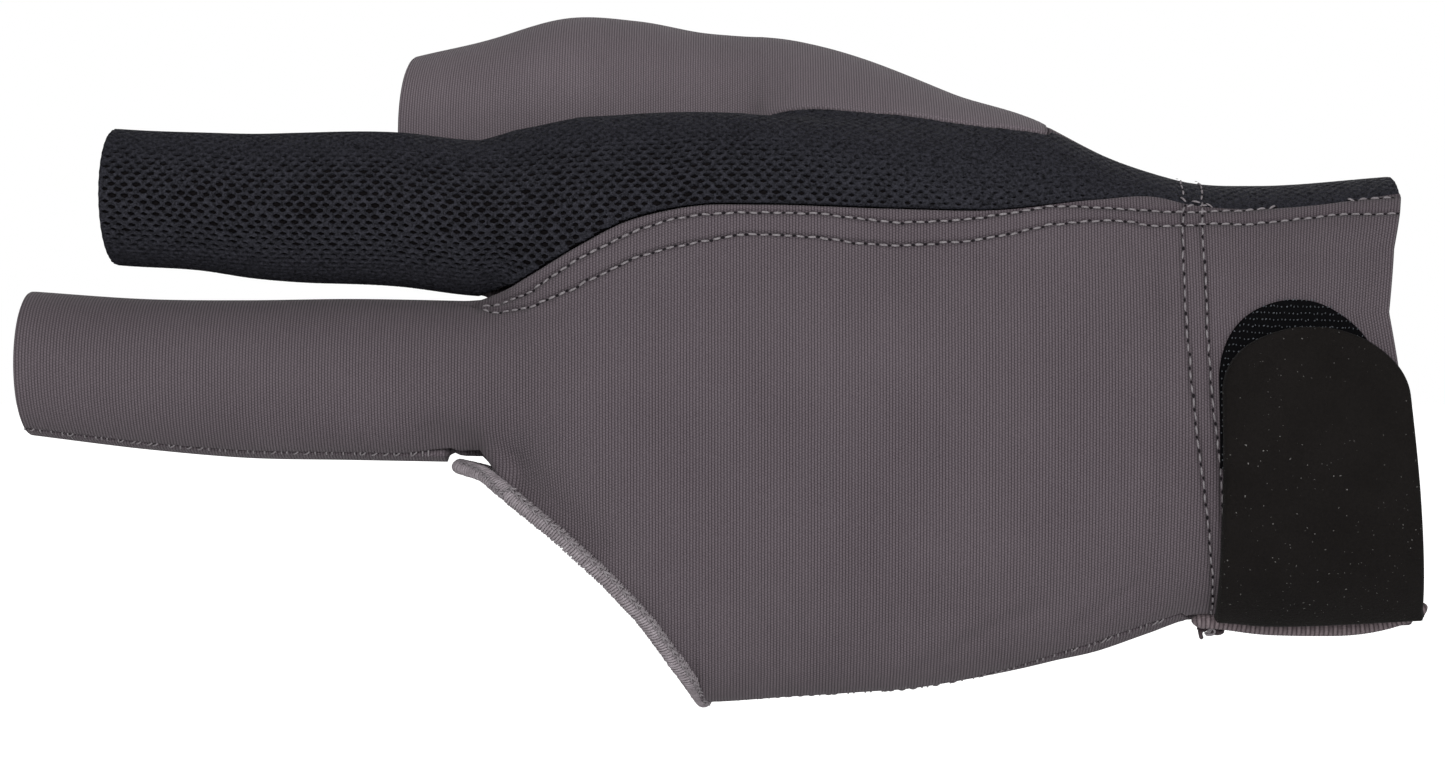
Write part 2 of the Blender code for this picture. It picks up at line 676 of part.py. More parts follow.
def opening_edge(look):
    line_x, line_z = opening_line(EDGE_BAND / 2)
    end_x = reach_to_x(OPENING_END) + EDGE_BAND / 2
    crotch_y, crotch_z, _, crotch_r, _ = LIMBS["middle"].at(RING_CROTCH_X)
    below = EDGE_THICK / 2 + SEAM_GAP
    crotch = np.array([RING_CROTCH_X + EDGE_BAND / 2, crotch_y, crotch_z - crotch_r - below])
    inner = np.linspace(float(line_x[-3]), float(line_x[1]), 14)
    heights = np.interp(inner, line_x[::-1], line_z[::-1])
    back = [point_from_side(limbs_at(x, "middle"), x, z, -1) for x, z in zip(inner, heights)]
    palm = [point_from_side(limbs_at(x, "middle"), x, z, 1) for x, z in zip(inner, heights)]
    low = point_around("middle", HAND, end_x, -90.0)
    line = even_line([crotch] + back + [low] + palm[::-1], 44, True)
    ahead = along(line, True)
    outward = normals(("middle", "ring", "body"), line)
    outward -= ahead * (outward * ahead).sum(1, keepdims=True)
    outward /= np.linalg.norm(outward, axis=1, keepdims=True)
    across = np.cross(outward, ahead)
    return ring_solid("opening_edge", line, across, outward, EDGE_BAND, EDGE_THICK, 8, True, look)


def cuff_patch():
    """Surface of the cuff's back as a table: rows along X, columns every half millimetre up from the slit."""
    xs = np.linspace(-CUFF_LENGTH, 0.3 * STRAP_WIDTH, 20)
    s = np.arange(0.0, STRAP_LENGTH + PAD_SHOWS + 0.006, 0.0005)
    points = []
    for x in xs:
        low = point_around("middle", HAND_AND_THUMB, x, SLIT_ANGLE)
        high = point_around("middle", HAND_AND_THUMB, x, PATCH_ANGLE)
        line = strip("middle", HAND_AND_THUMB, np.array([x]), low[None], high[None], 1, 160,
                     [[0.0], [0.0]])[0]
        length = np.concatenate([[0.0], np.cumsum(np.linalg.norm(np.diff(line, axis=0), axis=1))])
        points.append(np.stack([np.interp(s, length, line[:, k]) for k in range(3)], -1))
    return xs, s, np.array(points)


def on_cuff(patch, x, s, height):
    """Point above the cuff's back, at a distance up from the slit and a height off the cloth."""
    xs, ss, points = patch
    i = np.clip((x - xs[0]) / (xs[1] - xs[0]), 0, len(xs) - 1.001)
    j = np.clip(s / (ss[1] - ss[0]), 0, len(ss) - 1.001)
    a, b = int(i), int(j)
    u, v = i - a, j - b
    base = (points[a, b] * (1 - u) * (1 - v) + points[a + 1, b] * u * (1 - v)
            + points[a, b + 1] * (1 - u) * v + points[a + 1, b + 1] * u * v)
    out = normals(HAND_AND_THUMB, base[None])[0]
    out[0] = 0.0
    return base + out / np.linalg.norm(out) * height, out / np.linalg.norm(out)


def tongue(name, patch, bottom, length, width, inset, end, lift, thick, rows, look, columns=8):
    """Flat strip with a round upper end on the cuff's back; bottom is how far up it starts."""
    points, directions = [], []
    straight = length - end
    levels = [straight * i / rows for i in range(rows)]
    levels += [straight + end * math.sin(math.radians(a)) for a in (0, 18, 36, 52, 66, 80)]
    for level in levels:
        rise = max(0.0, level - straight) / end
        half = width / 2 * math.sqrt(1 - rise * rise)
        for j in range(columns + 1):
            x = -inset + half * (2 * j / columns - 1)
            point, out = on_cuff(patch, x, bottom + level, lift(bottom + level) + thick)
            points.append(point)
            directions.append(out)
    quads = grid_quads(len(levels), columns + 1)
    walls = np.full(len(points), thick)
    return cloth_solid(name, np.array(points), np.array(directions), walls, quads, look)


STRAP_START = ROLL_WIDTH / 2 + SEAM_GAP
PAD_START = STRAP_START + STRAP_LENGTH + PAD_SHOWS - PAD_LENGTH
RAMP_SHORT = 0.001        # the strap has its full height this far before the pad


def over_pad(s):
    """Height of the strap off the cuff: it rises from the slit to lie on the pad."""
    share = (s - STRAP_START) / (PAD_START - STRAP_START - RAMP_SHORT)
    return SEAM_GAP + (PAD_THICK + SEAM_GAP) * min(1.0, max(0.0, share))


def on_cloth(s):
    return SEAM_GAP


def slit_edge(look):
    xs = np.linspace(SEAM_GAP - CUFF_LENGTH, STRAP_WIDTH / 2 - STRAP_INSET, 10)
    line = []
    for x in xs:
        base = point_around("middle", HAND_AND_THUMB, x, SLIT_ANGLE)
        line.append(base + normals(HAND_AND_THUMB, base[None])[0] * ROLL_OUT)
    line = np.array(line)
    ahead = along(line, False)
    outward = normals(HAND_AND_THUMB, line)
    outward -= ahead * (outward * ahead).sum(1, keepdims=True)
    outward /= np.linalg.norm(outward, axis=1, keepdims=True)
    across = np.cross(outward, ahead)
    return ring_solid("slit_edge", line, across, outward, ROLL_WIDTH, ROLL_WIDTH, 10, False, look)


def main():
    for old in list(bpy.data.objects):
        bpy.data.objects.remove(old)
    gray = material("gray_knit", (0.098, 0.082, 0.092), 0.85)
    light = material("thumb_knit", (0.13, 0.115, 0.125), 0.85)
    black = material("air_mesh", (0.012, 0.011, 0.014), 0.7)
    strap = material("strap_suede", (0.011, 0.009, 0.01), 0.9)
    thread = material("edge_thread", (0.11, 0.095, 0.105), 0.8)
    mesh_panel(black)
    back_panel(gray)
    palm_panel(gray)
    thumb_panel(light)
    opening_edge(thread)
    slit_edge(light)
    patch = cuff_patch()
    tongue("strap_tab", patch, STRAP_START, STRAP_LENGTH, STRAP_WIDTH, STRAP_INSET, STRAP_END, over_pad,
           STRAP_THICK, 10, strap)
    tongue("hook_pad", patch, PAD_START, PAD_LENGTH, PAD_WIDTH, PAD_INSET, PAD_WIDTH / 2, on_cloth, PAD_THICK,
           5, strap)


main()
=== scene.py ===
"""Looks of a stretch glove that is held up as a hand wears it.

The form, seams and panels are those of the CAD part, drawn at a finer step. Lengths are in metres.
"""
import math

import bpy
import numpy as np
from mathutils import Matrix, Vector
from mathutils.bvhtree import BVHTree


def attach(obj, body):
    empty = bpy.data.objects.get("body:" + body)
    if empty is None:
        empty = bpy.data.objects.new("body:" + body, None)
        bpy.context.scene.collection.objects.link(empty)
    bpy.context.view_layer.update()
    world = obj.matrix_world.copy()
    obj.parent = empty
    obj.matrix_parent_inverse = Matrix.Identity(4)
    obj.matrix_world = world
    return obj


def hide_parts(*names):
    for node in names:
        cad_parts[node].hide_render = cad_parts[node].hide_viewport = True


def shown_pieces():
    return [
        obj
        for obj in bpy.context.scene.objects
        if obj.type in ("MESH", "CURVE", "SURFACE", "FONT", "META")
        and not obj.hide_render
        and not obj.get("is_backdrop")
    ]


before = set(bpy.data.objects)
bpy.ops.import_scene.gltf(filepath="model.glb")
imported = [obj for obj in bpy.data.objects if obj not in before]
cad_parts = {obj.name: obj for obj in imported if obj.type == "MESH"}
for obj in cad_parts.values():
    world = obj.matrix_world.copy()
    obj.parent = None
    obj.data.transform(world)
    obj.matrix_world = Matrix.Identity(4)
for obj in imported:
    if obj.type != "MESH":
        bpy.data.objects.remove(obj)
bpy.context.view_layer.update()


# Lengths along the hand
PALM_LENGTH = 0.1285      # wrist edge to the web between index and middle finger
INDEX_LENGTH = 0.0525     # web to the rim of the index finger
MIDDLE_LENGTH = 0.0645    # web to the rim of the middle finger
THUMB_CROTCH = 0.0935     # wrist edge to the crotch between thumb and palm
THUMB_LENGTH = 0.0462     # crotch to the rim of the thumb
CUFF_LENGTH = 0.0290      # folded hem at the wrist

# Widths and depths
PALM_WIDTH = 0.0820
WRIST_WIDTH = 0.0634
PALM_DEPTH = 0.0300
WRIST_DEPTH = 0.0400
INDEX_WIDTH = 0.0218
MIDDLE_WIDTH = 0.0228
THUMB_WIDTH = 0.0280
FINGER_GAP = 0.0042       # between the index and middle rims
THUMB_GAP = 0.0090        # between the thumb's rim and the index finger
BLEND = 0.0080            # roundness of the valleys where limbs meet

# Cloth
CLOTH = 0.0011
HEM = 0.0020
SEAM_GAP = 0.0003
EDGE_BAND = 0.0023        # width of the overlocked edge
EDGE_THICK = 0.0021
ROLL_WIDTH = 0.0025       # rolled edge of the cuff's slit

# Strap and pad on the cuff
STRAP_WIDTH = 0.0268
STRAP_LENGTH = 0.0460     # from the slit to the round tip, along the cuff
STRAP_END = 0.0094        # length of the round end
STRAP_THICK = 0.0018
STRAP_INSET = 0.0127      # strap's middle line from the wrist edge
PAD_WIDTH = 0.0240
PAD_LENGTH = 0.0240
PAD_SHOWS = 0.0042        # how far the pad reaches past the strap's tip
PAD_THICK = 0.0013
PAD_INSET = 0.0143
# Slope of a finger's rim, which stands square to the bent finger
INDEX_LEAN, MIDDLE_LEAN, THUMB_LEAN = 0.10, 0.09, 0.17
LEAN_LENGTH = 0.025       # length over which a section turns into its leaning rim

# Reach is 0 at the wrist edge, 1 at the web or crotch and 2 at a finger's rim
BODY = (
    # reach, top, bottom, half depth, exponent: shares of the width and depth there
    (-0.070, 0.520, -0.489, 0.505, 2.15),
    (0.000, 0.511, -0.489, 0.500, 2.15),
    (0.150, 0.490, -0.489, 0.495, 2.15),
    (0.225, 0.495, -0.476, 0.483, 2.20),
    (0.265, 0.513, -0.504, 0.459, 2.20),
    (0.320, 0.523, -0.523, 0.440, 2.30),
    (0.375, 0.518, -0.513, 0.448, 2.40),
    (0.480, 0.466, -0.490, 0.494, 2.50),
    (0.645, 0.463, -0.499, 0.500, 2.60),
    (0.763, 0.463, -0.510, 0.493, 2.60),
    (0.880, 0.449, -0.500, 0.473, 2.50),
    (0.940, 0.439, -0.476, 0.340, 2.30),
    (0.970, 0.425, -0.440, 0.200, 2.20),
    (1.004, 0.390, -0.340, 0.010, 2.00),
)
WRIST_ENDS, PALM_STARTS = 0.25, 0.55    # reach over which wrist sizes turn into palm sizes
MIDDLE = (
    # reach, height, radius, bend: shares of the palm's width, half the finger's width, and the palm's depth
    (0.000, 0.012, 0.60, 0.000),
    (0.480, 0.030, 0.90, 0.000),
    (0.763, 0.037, 1.00, 0.000),
    (1.000, 0.0415, 1.00, 0.000),
    (1.290, 0.0457, 1.00, 0.020),
    (1.510, 0.0463, 0.982, 0.055),
    (1.730, 0.0543, 0.939, 0.105),
    (2.000, 0.0740, 0.900, 0.175),
)
INDEX = (
    # reach, gap to the middle finger, radius, bend
    (0.000, 1.20, 0.40, 0.000),
    (0.300, 0.60, 0.60, 0.000),
    (0.480, 0.20, 0.95, 0.000),
    (0.763, 0.33, 1.05, 0.000),
    (1.000, 0.17, 1.01, 0.000),
    (1.220, 0.43, 1.00, 0.012),
    (1.490, 0.58, 0.972, 0.048),
    (1.620, 0.74, 0.940, 0.072),
    (1.760, 1.00, 0.900, 0.100),
    (2.000, 1.10, 0.890, 0.150),
)
THUMB = (
    # reach, gap to the index finger, depth sunk into the palm, radius, degrees above the palm's direction
    (0.000, 0.00, 0.250, 0.30, -60.0),
    (0.300, 0.00, 0.400, 0.50, -60.0),
    (0.406, 0.00, 0.500, 0.78, -22.0),
    (0.513, 0.00, 0.568, 1.036, 10.0),
    (0.659, 0.00, 0.395, 1.071, 23.5),
    (0.888, 0.00, 0.120, 1.107, 28.0),
    (1.000, 0.43, 0.000, 1.020, 26.0),
    (1.076, 0.60, 0.000, 1.000, 26.0),
    (1.290, 0.68, 0.000, 1.000, 29.0),
    (1.509, 0.73, 0.000, 0.979, 31.4),
    (1.747, 0.98, 0.000, 0.914, 27.0),
    (2.000, 1.00, 0.000, 0.843, 22.0),
)
RING_RADIUS = 0.92        # the bare ring finger's share of the middle finger's width
RING_GAP = 0.10
RING_CROTCH = 1.070       # reach of the crotch between middle and ring finger
OPENING_END = 0.763       # reach where the opening meets the little-finger side

# Seams, as degrees round the finger that carries them: 0 the back of the hand, 90 the thumb side
INDEX_TOP_SEAM = (
    # reach, degrees
    (0.000, 92.0), (0.225, 92.0), (0.300, 91.0), (0.374, 88.0), (0.7276, 152.0), (0.760, 148.0),
    (0.860, 125.0), (1.000, 105.0), (2.000, 95.0),
)
INDEX_LOW_SEAM, MIDDLE_TOP_SEAM, MIDDLE_LOW_SEAM = -95.0, 95.0, -66.0

# Seams beside the thumb, as degrees from the direction in which it stands off the index finger
THUMB_BACK_SEAM = 90.0
THUMB_PALM_SEAM = (
    # reach, degrees
    (0.374, 78.0), (0.400, 50.0), (0.430, 12.0), (0.460, -22.0), (0.500, -54.0), (0.550, -76.0),
    (0.600, -84.0), (0.690, -80.0), (0.7276, -72.0),
)
LITTLE_SIDE_SEAM = (
    # reach, degrees round the middle finger's line
    (-0.070, -83.0), (0.226, -83.0), (0.234, -77.5), (0.310, -79.0), (0.380, -82.0), (0.500, -88.0),
    (0.763, -92.0),
)
SLIT_ANGLE = -83.0        # middle of the slit's rolled edge
PATCH_ANGLE = 75.0        # upper end of the cuff's part that carries the strap
MESH_SEAM = (
    # reach, height above the middle line as a share of the palm's width
    (0.000, 0.361), (0.110, 0.338), (0.165, 0.334), (0.230, 0.342), (0.265, 0.355), (0.330, 0.351),
    (0.440, 0.333), (0.550, 0.335), (0.700, 0.342), (0.763, 0.340), (0.800, 0.330), (0.840, 0.312),
    (0.890, 0.272), (0.945, 0.222), (0.985, 0.190), (1.000, 0.186),
)
OPENING = (
    # reach, height of the overlocked edge as a share of the palm's width
    (0.763, -0.519), (0.778, -0.472), (0.825, -0.368), (0.864, -0.302), (0.918, -0.226), (1.000, -0.127),
    (1.050, -0.100), (1.070, -0.094),
)
WELD = (
    # reach, height of the line on which the palm panel's two halves join
    (0.00, 0.070), (0.60, 0.090), (0.85, 0.135), (1.00, 0.186),
)
THUMB_PANEL_END = 0.374


def row_columns(rows):
    return [np.array(column) for column in zip(*rows)]


def smooth(xs, ys, x):
    """Cubic curve through the rows of a table."""
    slopes = np.gradient(ys, xs)
    i = np.clip(np.searchsorted(xs, x) - 1, 0, len(xs) - 2)
    width = xs[i + 1] - xs[i]
    t = np.clip((x - xs[i]) / width, 0.0, 1.0)
    start, end = ys[i], ys[i + 1]
    return (start * (2 * t**3 - 3 * t**2 + 1) + end * (3 * t**2 - 2 * t**3)
            + slopes[i] * width * (t**3 - 2 * t**2 + t) + slopes[i + 1] * width * (t**3 - t**2))


def read(rows, column, reach):
    columns = row_columns(rows)
    return smooth(columns[0], columns[column], reach)


def reach_to_x(reach, web=PALM_LENGTH, finger=MIDDLE_LENGTH):
    return -(web * np.minimum(reach, 1.0) + finger * np.maximum(reach - 1.0, 0.0))


def x_to_reach(x, web=PALM_LENGTH, finger=MIDDLE_LENGTH):
    return np.where(-x <= web, -x / web, 1.0 + (-x - web) / finger)


def part_way(reach):
    t = np.clip((reach - WRIST_ENDS) / (PALM_STARTS - WRIST_ENDS), 0.0, 1.0)
    return t * t * (3 - 2 * t)


class Limb:
    """A round or flattened limb: its middle line, half depth, half width and exponent along X."""

    def __init__(self, x, y, z, half_depth, half_width, exponent):
        order = np.argsort(x)
        self.x = x[order]
        self.values = [np.broadcast_to(v, x.shape)[order] for v in (y, z, half_depth, half_width, exponent)]

    def at(self, x):
        return [np.interp(x, self.x, v) for v in self.values]

    def outside(self, x, y, z):
        yc, zc, ry, rz, power = self.at(x)
        inner = (np.abs(y - yc) / ry) ** power + (np.abs(z - zc) / rz) ** power
        distance = (inner ** (1 / power) - 1.0) * np.minimum(ry, rz)
        return np.where((x < self.x[0]) | (x > self.x[-1]), 1.0, distance)


def make_limbs():
    dense = np.linspace(0.0, 2.08, 167)
    reach = np.concatenate([np.linspace(BODY[0][0], 0.9, 80), np.linspace(0.905, BODY[-1][0], 40)])
    width = WRIST_WIDTH + (PALM_WIDTH - WRIST_WIDTH) * part_way(reach)
    depth = WRIST_DEPTH + (PALM_DEPTH - WRIST_DEPTH) * part_way(reach)
    top, bottom = read(BODY, 1, reach) * width, read(BODY, 2, reach) * width
    half_depth, exponent = read(BODY, 3, reach) * depth, read(BODY, 4, reach)
    body = Limb(reach_to_x(reach), 0.0, (top + bottom) / 2, half_depth, (top - bottom) / 2, exponent)
    z = read(MIDDLE, 1, dense) * PALM_WIDTH
    r = read(MIDDLE, 2, dense) * MIDDLE_WIDTH / 2
    bend = read(MIDDLE, 3, dense) * PALM_DEPTH
    middle = Limb(reach_to_x(dense), bend, z, r, r, 2.0)
    ring_ends = dense <= 1.3
    ring_z = z - r * (1 + RING_RADIUS) - RING_GAP * FINGER_GAP
    ring_r = r[ring_ends] * RING_RADIUS
    ring = Limb(reach_to_x(dense[ring_ends]), bend[ring_ends], ring_z[ring_ends], ring_r, ring_r, 2.0)
    index_x = reach_to_x(dense, PALM_LENGTH, INDEX_LENGTH)
    middle_y, middle_z, middle_r, _, _ = middle.at(index_x)
    index_r = read(INDEX, 2, dense) * INDEX_WIDTH / 2
    index_z = middle_z + middle_r + read(INDEX, 1, dense) * FINGER_GAP + index_r
    index = Limb(index_x, read(INDEX, 3, dense) * PALM_DEPTH, index_z, index_r, index_r, 2.0)
    thumb_x = reach_to_x(dense, THUMB_CROTCH, THUMB_LENGTH)
    index_y, index_z, index_r, _, _ = index.at(thumb_x)
    thumb_r = read(THUMB, 3, dense) * THUMB_WIDTH / 2
    away = index_r + thumb_r + read(THUMB, 1, dense) * THUMB_GAP - read(THUMB, 2, dense) * THUMB_WIDTH
    angle = np.radians(read(THUMB, 4, dense))
    thumb_y, thumb_z = index_y + away * np.cos(angle), index_z + away * np.sin(angle)
    thumb = Limb(thumb_x, thumb_y, thumb_z, thumb_r, thumb_r, 2.0)
    return {"body": body, "index": index, "middle": middle, "ring": ring, "thumb": thumb}


LIMBS = make_limbs()
HAND = ("body", "index", "middle", "ring")
BLEND_RAMP = 0.014        # distance over which a valley reaches its full roundness


def outside(names, x, y, z):
    """Signed distance, roughly, from the blended form of the named limbs."""
    total = None
    blend = BLEND * np.clip(0.25 + (x + PALM_LENGTH) / BLEND_RAMP * 0.75, 0.25, 1.0)
    for name in names:
        one = LIMBS[name].outside(x, y, z)
        if total is None:
            total = one
            continue
        h = np.maximum(blend - np.abs(total - one), 0.0) / blend
        total = np.minimum(total, one) - h * h * blend / 4
    return total


def cast(names, start, direction, far, steps=130):
    """Distance from each start along each direction to the first crossing of the surface."""
    t = np.linspace(0.0, far, steps)
    points = start[..., None, :] + direction[..., None, :] * t[:, None]
    values = outside(names, points[..., 0], points[..., 1], points[..., 2])
    crossed = np.sign(values) != np.sign(values[..., :1])
    first = np.where(crossed.any(-1), crossed.argmax(-1), steps - 1)
    low, high = t[first - 1], t[first]
    sign = np.sign(values[..., 0])
    for _ in range(18):
        middle = (low + high) / 2
        p = start + direction * middle[..., None]
        same = np.sign(outside(names, p[..., 0], p[..., 1], p[..., 2])) == sign
        low, high = np.where(same, middle, low), np.where(same, high, middle)
    return (low + high) / 2


def normals(names, points, step=0.0002):
    parts = []
    for axis in range(3):
        shift = np.zeros(3)
        shift[axis] = step
        a, b = np.moveaxis(points + shift, -1, 0), np.moveaxis(points - shift, -1, 0)
        parts.append(outside(names, *a) - outside(names, *b))
    normal = np.stack(parts, -1)
    return normal / np.maximum(np.linalg.norm(normal, axis=-1, keepdims=True), 1e-9)


def around(limb, names, x, degrees):
    """Surface point at an angle round a limb's middle line."""
    y, z = LIMBS[limb].at(x)[:2]
    a = np.radians(degrees)
    start = np.stack([x + 0 * a, y + 0 * a, z + 0 * a], -1)
    way = np.stack([0 * a, -np.cos(a), np.sin(a)], -1)
    return start + way * cast(names, start, way, 0.75 * PALM_WIDTH)[..., None]


def from_side(names, x, z, side):
    """First surface point met at a height, from the back of the hand (-1) or from the palm (1)."""
    start = np.stack([x, np.full_like(x, side * WRIST_DEPTH), z], -1)
    way = np.broadcast_to(np.array([0.0, -side, 0.0]), start.shape)
    return start + way * cast(names, start, way, WRIST_DEPTH)[..., None]


HAND_AND_THUMB = HAND + ("thumb",)
RING_CROTCH_X = -(PALM_LENGTH + (RING_CROTCH - 1.0) * MIDDLE_LENGTH)
NEAR = 1e-6


def limbs_at(x, finger):
    """Limbs that form the surface of a finger's side of the glove at a section."""
    if x <= -PALM_LENGTH + NEAR:
        if finger == "middle" and x > RING_CROTCH_X + NEAR:
            return ("middle", "ring")
        return (finger,)
    if x <= -THUMB_CROTCH + NEAR:
        return (finger,) if finger == "thumb" else HAND
    return HAND_AND_THUMB


def opening_line(shift):
    """The opening's edge, moved into the cloth by a distance: x and z, up to the fingers' web."""
    reach, height = row_columns(OPENING)
    x, z = reach_to_x(reach), height * PALM_WIDTH
    dx, dz = np.gradient(x), np.gradient(z)
    length = np.hypot(dx, dz)
    return x + dz / length * shift, z - dx / length * shift


def edge_z(x, shift):
    line_x, line_z = opening_line(shift)
    return float(np.interp(x, line_x[::-1], line_z[::-1]))


ROLL_OUT = 0.0004
CLOTH_SHIFT = EDGE_BAND + SEAM_GAP
OPENING_X = float(opening_line(CLOTH_SHIFT)[0].max())


def point_around(finger, names, x, degrees):
    return around(finger, names, np.array([x]), np.array([degrees]))[0]


def point_from_side(names, x, z, side):
    return from_side(names, np.array([x]), np.array([z]), side)[0]


def angle_at(table, x):
    reach, degrees = row_columns(table)
    own = x_to_reach(np.array(x), PALM_LENGTH, INDEX_LENGTH)
    return float(np.interp(own, reach, degrees))


def beside_thumb(x, degrees):
    """Surface point met from the neck between thumb and palm, at an angle from the thumb's direction."""
    thumb_y, thumb_z, _, thumb_r, _ = LIMBS["thumb"].at(x)
    index_y, index_z, _, index_r, _ = LIMBS["index"].at(x)
    apart = math.hypot(thumb_y - index_y, thumb_z - index_z)
    towards = math.atan2(thumb_z - index_z, thumb_y - index_y)
    reach = (apart + index_r - thumb_r) / 2
    start = np.array([x, index_y + reach * math.cos(towards), index_z + reach * math.sin(towards)])
    turned = towards + math.radians(degrees)
    way = np.array([0.0, math.cos(turned), math.sin(turned)])
    return start + way * cast(HAND_AND_THUMB, start[None], way[None], 0.75 * PALM_WIDTH)[0]


def beside_palm(x):
    """Whether the thumb panel lies open between the mesh and the palm here."""
    return -THUMB_CROTCH + NEAR < x < -THUMB_PANEL_END * PALM_LENGTH + NEAR


def index_top(x):
    if beside_palm(x):
        return beside_thumb(x, THUMB_BACK_SEAM)
    return point_around("index", limbs_at(x, "index"), x, angle_at(INDEX_TOP_SEAM, x))


def thumb_palm_edge(x):
    return beside_thumb(x, angle_at(THUMB_PALM_SEAM, x))


def index_low(x):
    return point_around("index", limbs_at(x, "index"), x, INDEX_LOW_SEAM)


def middle_top(x):
    return point_around("middle", limbs_at(x, "middle"), x, MIDDLE_TOP_SEAM)


def mesh_edge(x):
    """Seam between the mesh and the back panel."""
    reach, height = row_columns(MESH_SEAM)
    z = float(smooth(reach, height, -x / PALM_LENGTH)) * PALM_WIDTH
    return point_from_side(limbs_at(x, "index"), x, z, -1)


def weld_edge(x):
    """Line down the palm on which the palm panel's two halves meet."""
    reach, height = row_columns(WELD)
    z = float(np.interp(-x / PALM_LENGTH, reach, height)) * PALM_WIDTH
    return point_from_side(limbs_at(x, "index"), x, z, 1)


def little_edge(x, side):
    """Lower edge of the back (-1) or palm (1): finger seam, opening, little-finger side's seam."""
    names = limbs_at(x, "middle")
    if x < RING_CROTCH_X + NEAR:
        return point_around("middle", names, x, MIDDLE_LOW_SEAM)
    if x < OPENING_X + NEAR:
        return point_from_side(names, x, edge_z(x, CLOTH_SHIFT), side)
    reach, degrees = row_columns(LITTLE_SIDE_SEAM)
    return point_around("middle", names, x, float(np.interp(-x / PALM_LENGTH, reach, degrees)))


def seam_inset(x):
    return SEAM_GAP / 2


def little_inset(x):
    """Room for the slit's rolled edge along the cuff."""
    return ROLL_WIDTH / 2 + SEAM_GAP if x > -CUFF_LENGTH - NEAR else SEAM_GAP / 2


def petal_inset(x):
    """Wider along a section where the petal's seam runs across the sections."""
    return SEAM_GAP if beside_palm(x) and x > -0.55 * PALM_LENGTH else SEAM_GAP / 2


# Looks: cloth
ROW_STEP = 0.0008         # distance between two sections of a fine panel
RAYS = 260
ROUND = 0.00045           # rounding of a panel's cut or turned edges
EDGE_STEPS = (0.0, 0.00012, 0.0003)
WEB_EASE = 0.0042         # length before the web over which a panel turns into its finger
HOLE_DEPTH = 0.00055      # open mesh above its dark lining, whose colour is painted shade of the glove's empty inside

# Looks: threads
STITCH_PITCH = 0.00165
STITCH_LENGTH = 0.00112
STITCH_RADIUS = 0.00017
WRAP_PITCH = 0.00042
WRAP_RADIUS = 0.00020
CUFF_PITCH, CUFF_STITCH, CUFF_RADIUS = 0.0019, 0.0012, 0.00015
CHAIN_PITCH, CHAIN_LENGTH, CHAIN_RADIUS = 0.00125, 0.0012, 0.00016
CHAIN_WIDTH, CHAIN_INSET, CHAIN_SUNK = 0.0003, 0.0003, 0.0001
HOLE_SIZE = 0.00030       # needle hole
HOOK_HEIGHT = 0.00055
HOOK_ROWS, HOOK_PITCH = 0.00092, 0.00056

# Seam between mesh and back as seen from behind the hand, and how far below it the two rows
# of stitches lie
SEAM_ROWS = (
    # x, z of the seam, first row below it, second row below it, all in millimetres
    (-128.5, 15.2, 0.9, 1.6), (-126.0, 15.6, 1.3, 2.6), (-121.4, 17.9, 1.9, 4.2), (-114.9, 21.4, 1.1, 5.1),
    (-110.6, 23.4, 1.0, 4.9), (-106.3, 25.5, 1.0, 4.9), (-102.2, 26.9, 0.95, 5.1), (-97.9, 27.5, 0.8, 4.8),
    (-91.5, 28.0, 0.9, 4.2), (-87.3, 27.8, 0.8, 4.1), (-80.9, 27.5, 0.65, 4.2), (-76.6, 27.1, 0.8, 4.4),
    (-70.3, 26.7, 1.1, 4.5), (-66.0, 27.0, 1.25, 4.6), (-61.0, 27.6, 1.6, 4.9), (-54.6, 28.2, 1.25, 4.4),
    (-49.0, 28.7, 0.75, 3.6), (-43.9, 28.4, 0.55, 2.8), (-39.7, 28.1, 0.5, 2.45), (-35.3, 27.8, 0.5, 2.8),
    (-31.0, 27.5, 0.4, 2.6), (-27.3, 27.6, 0.35, 2.4), (-22.4, 27.7, 0.35, 2.6), (-15.9, 28.6, 0.45, 2.9),
    (-9.4, 29.3, 0.45, 2.8), (-0.8, 29.7, 0.45, 3.0),
)
FIRST_ROW = tuple((x, z - 0.25 - first) for x, z, first, _ in SEAM_ROWS)
SECOND_ROW = tuple((x, z - second) for x, z, _, second in SEAM_ROWS)
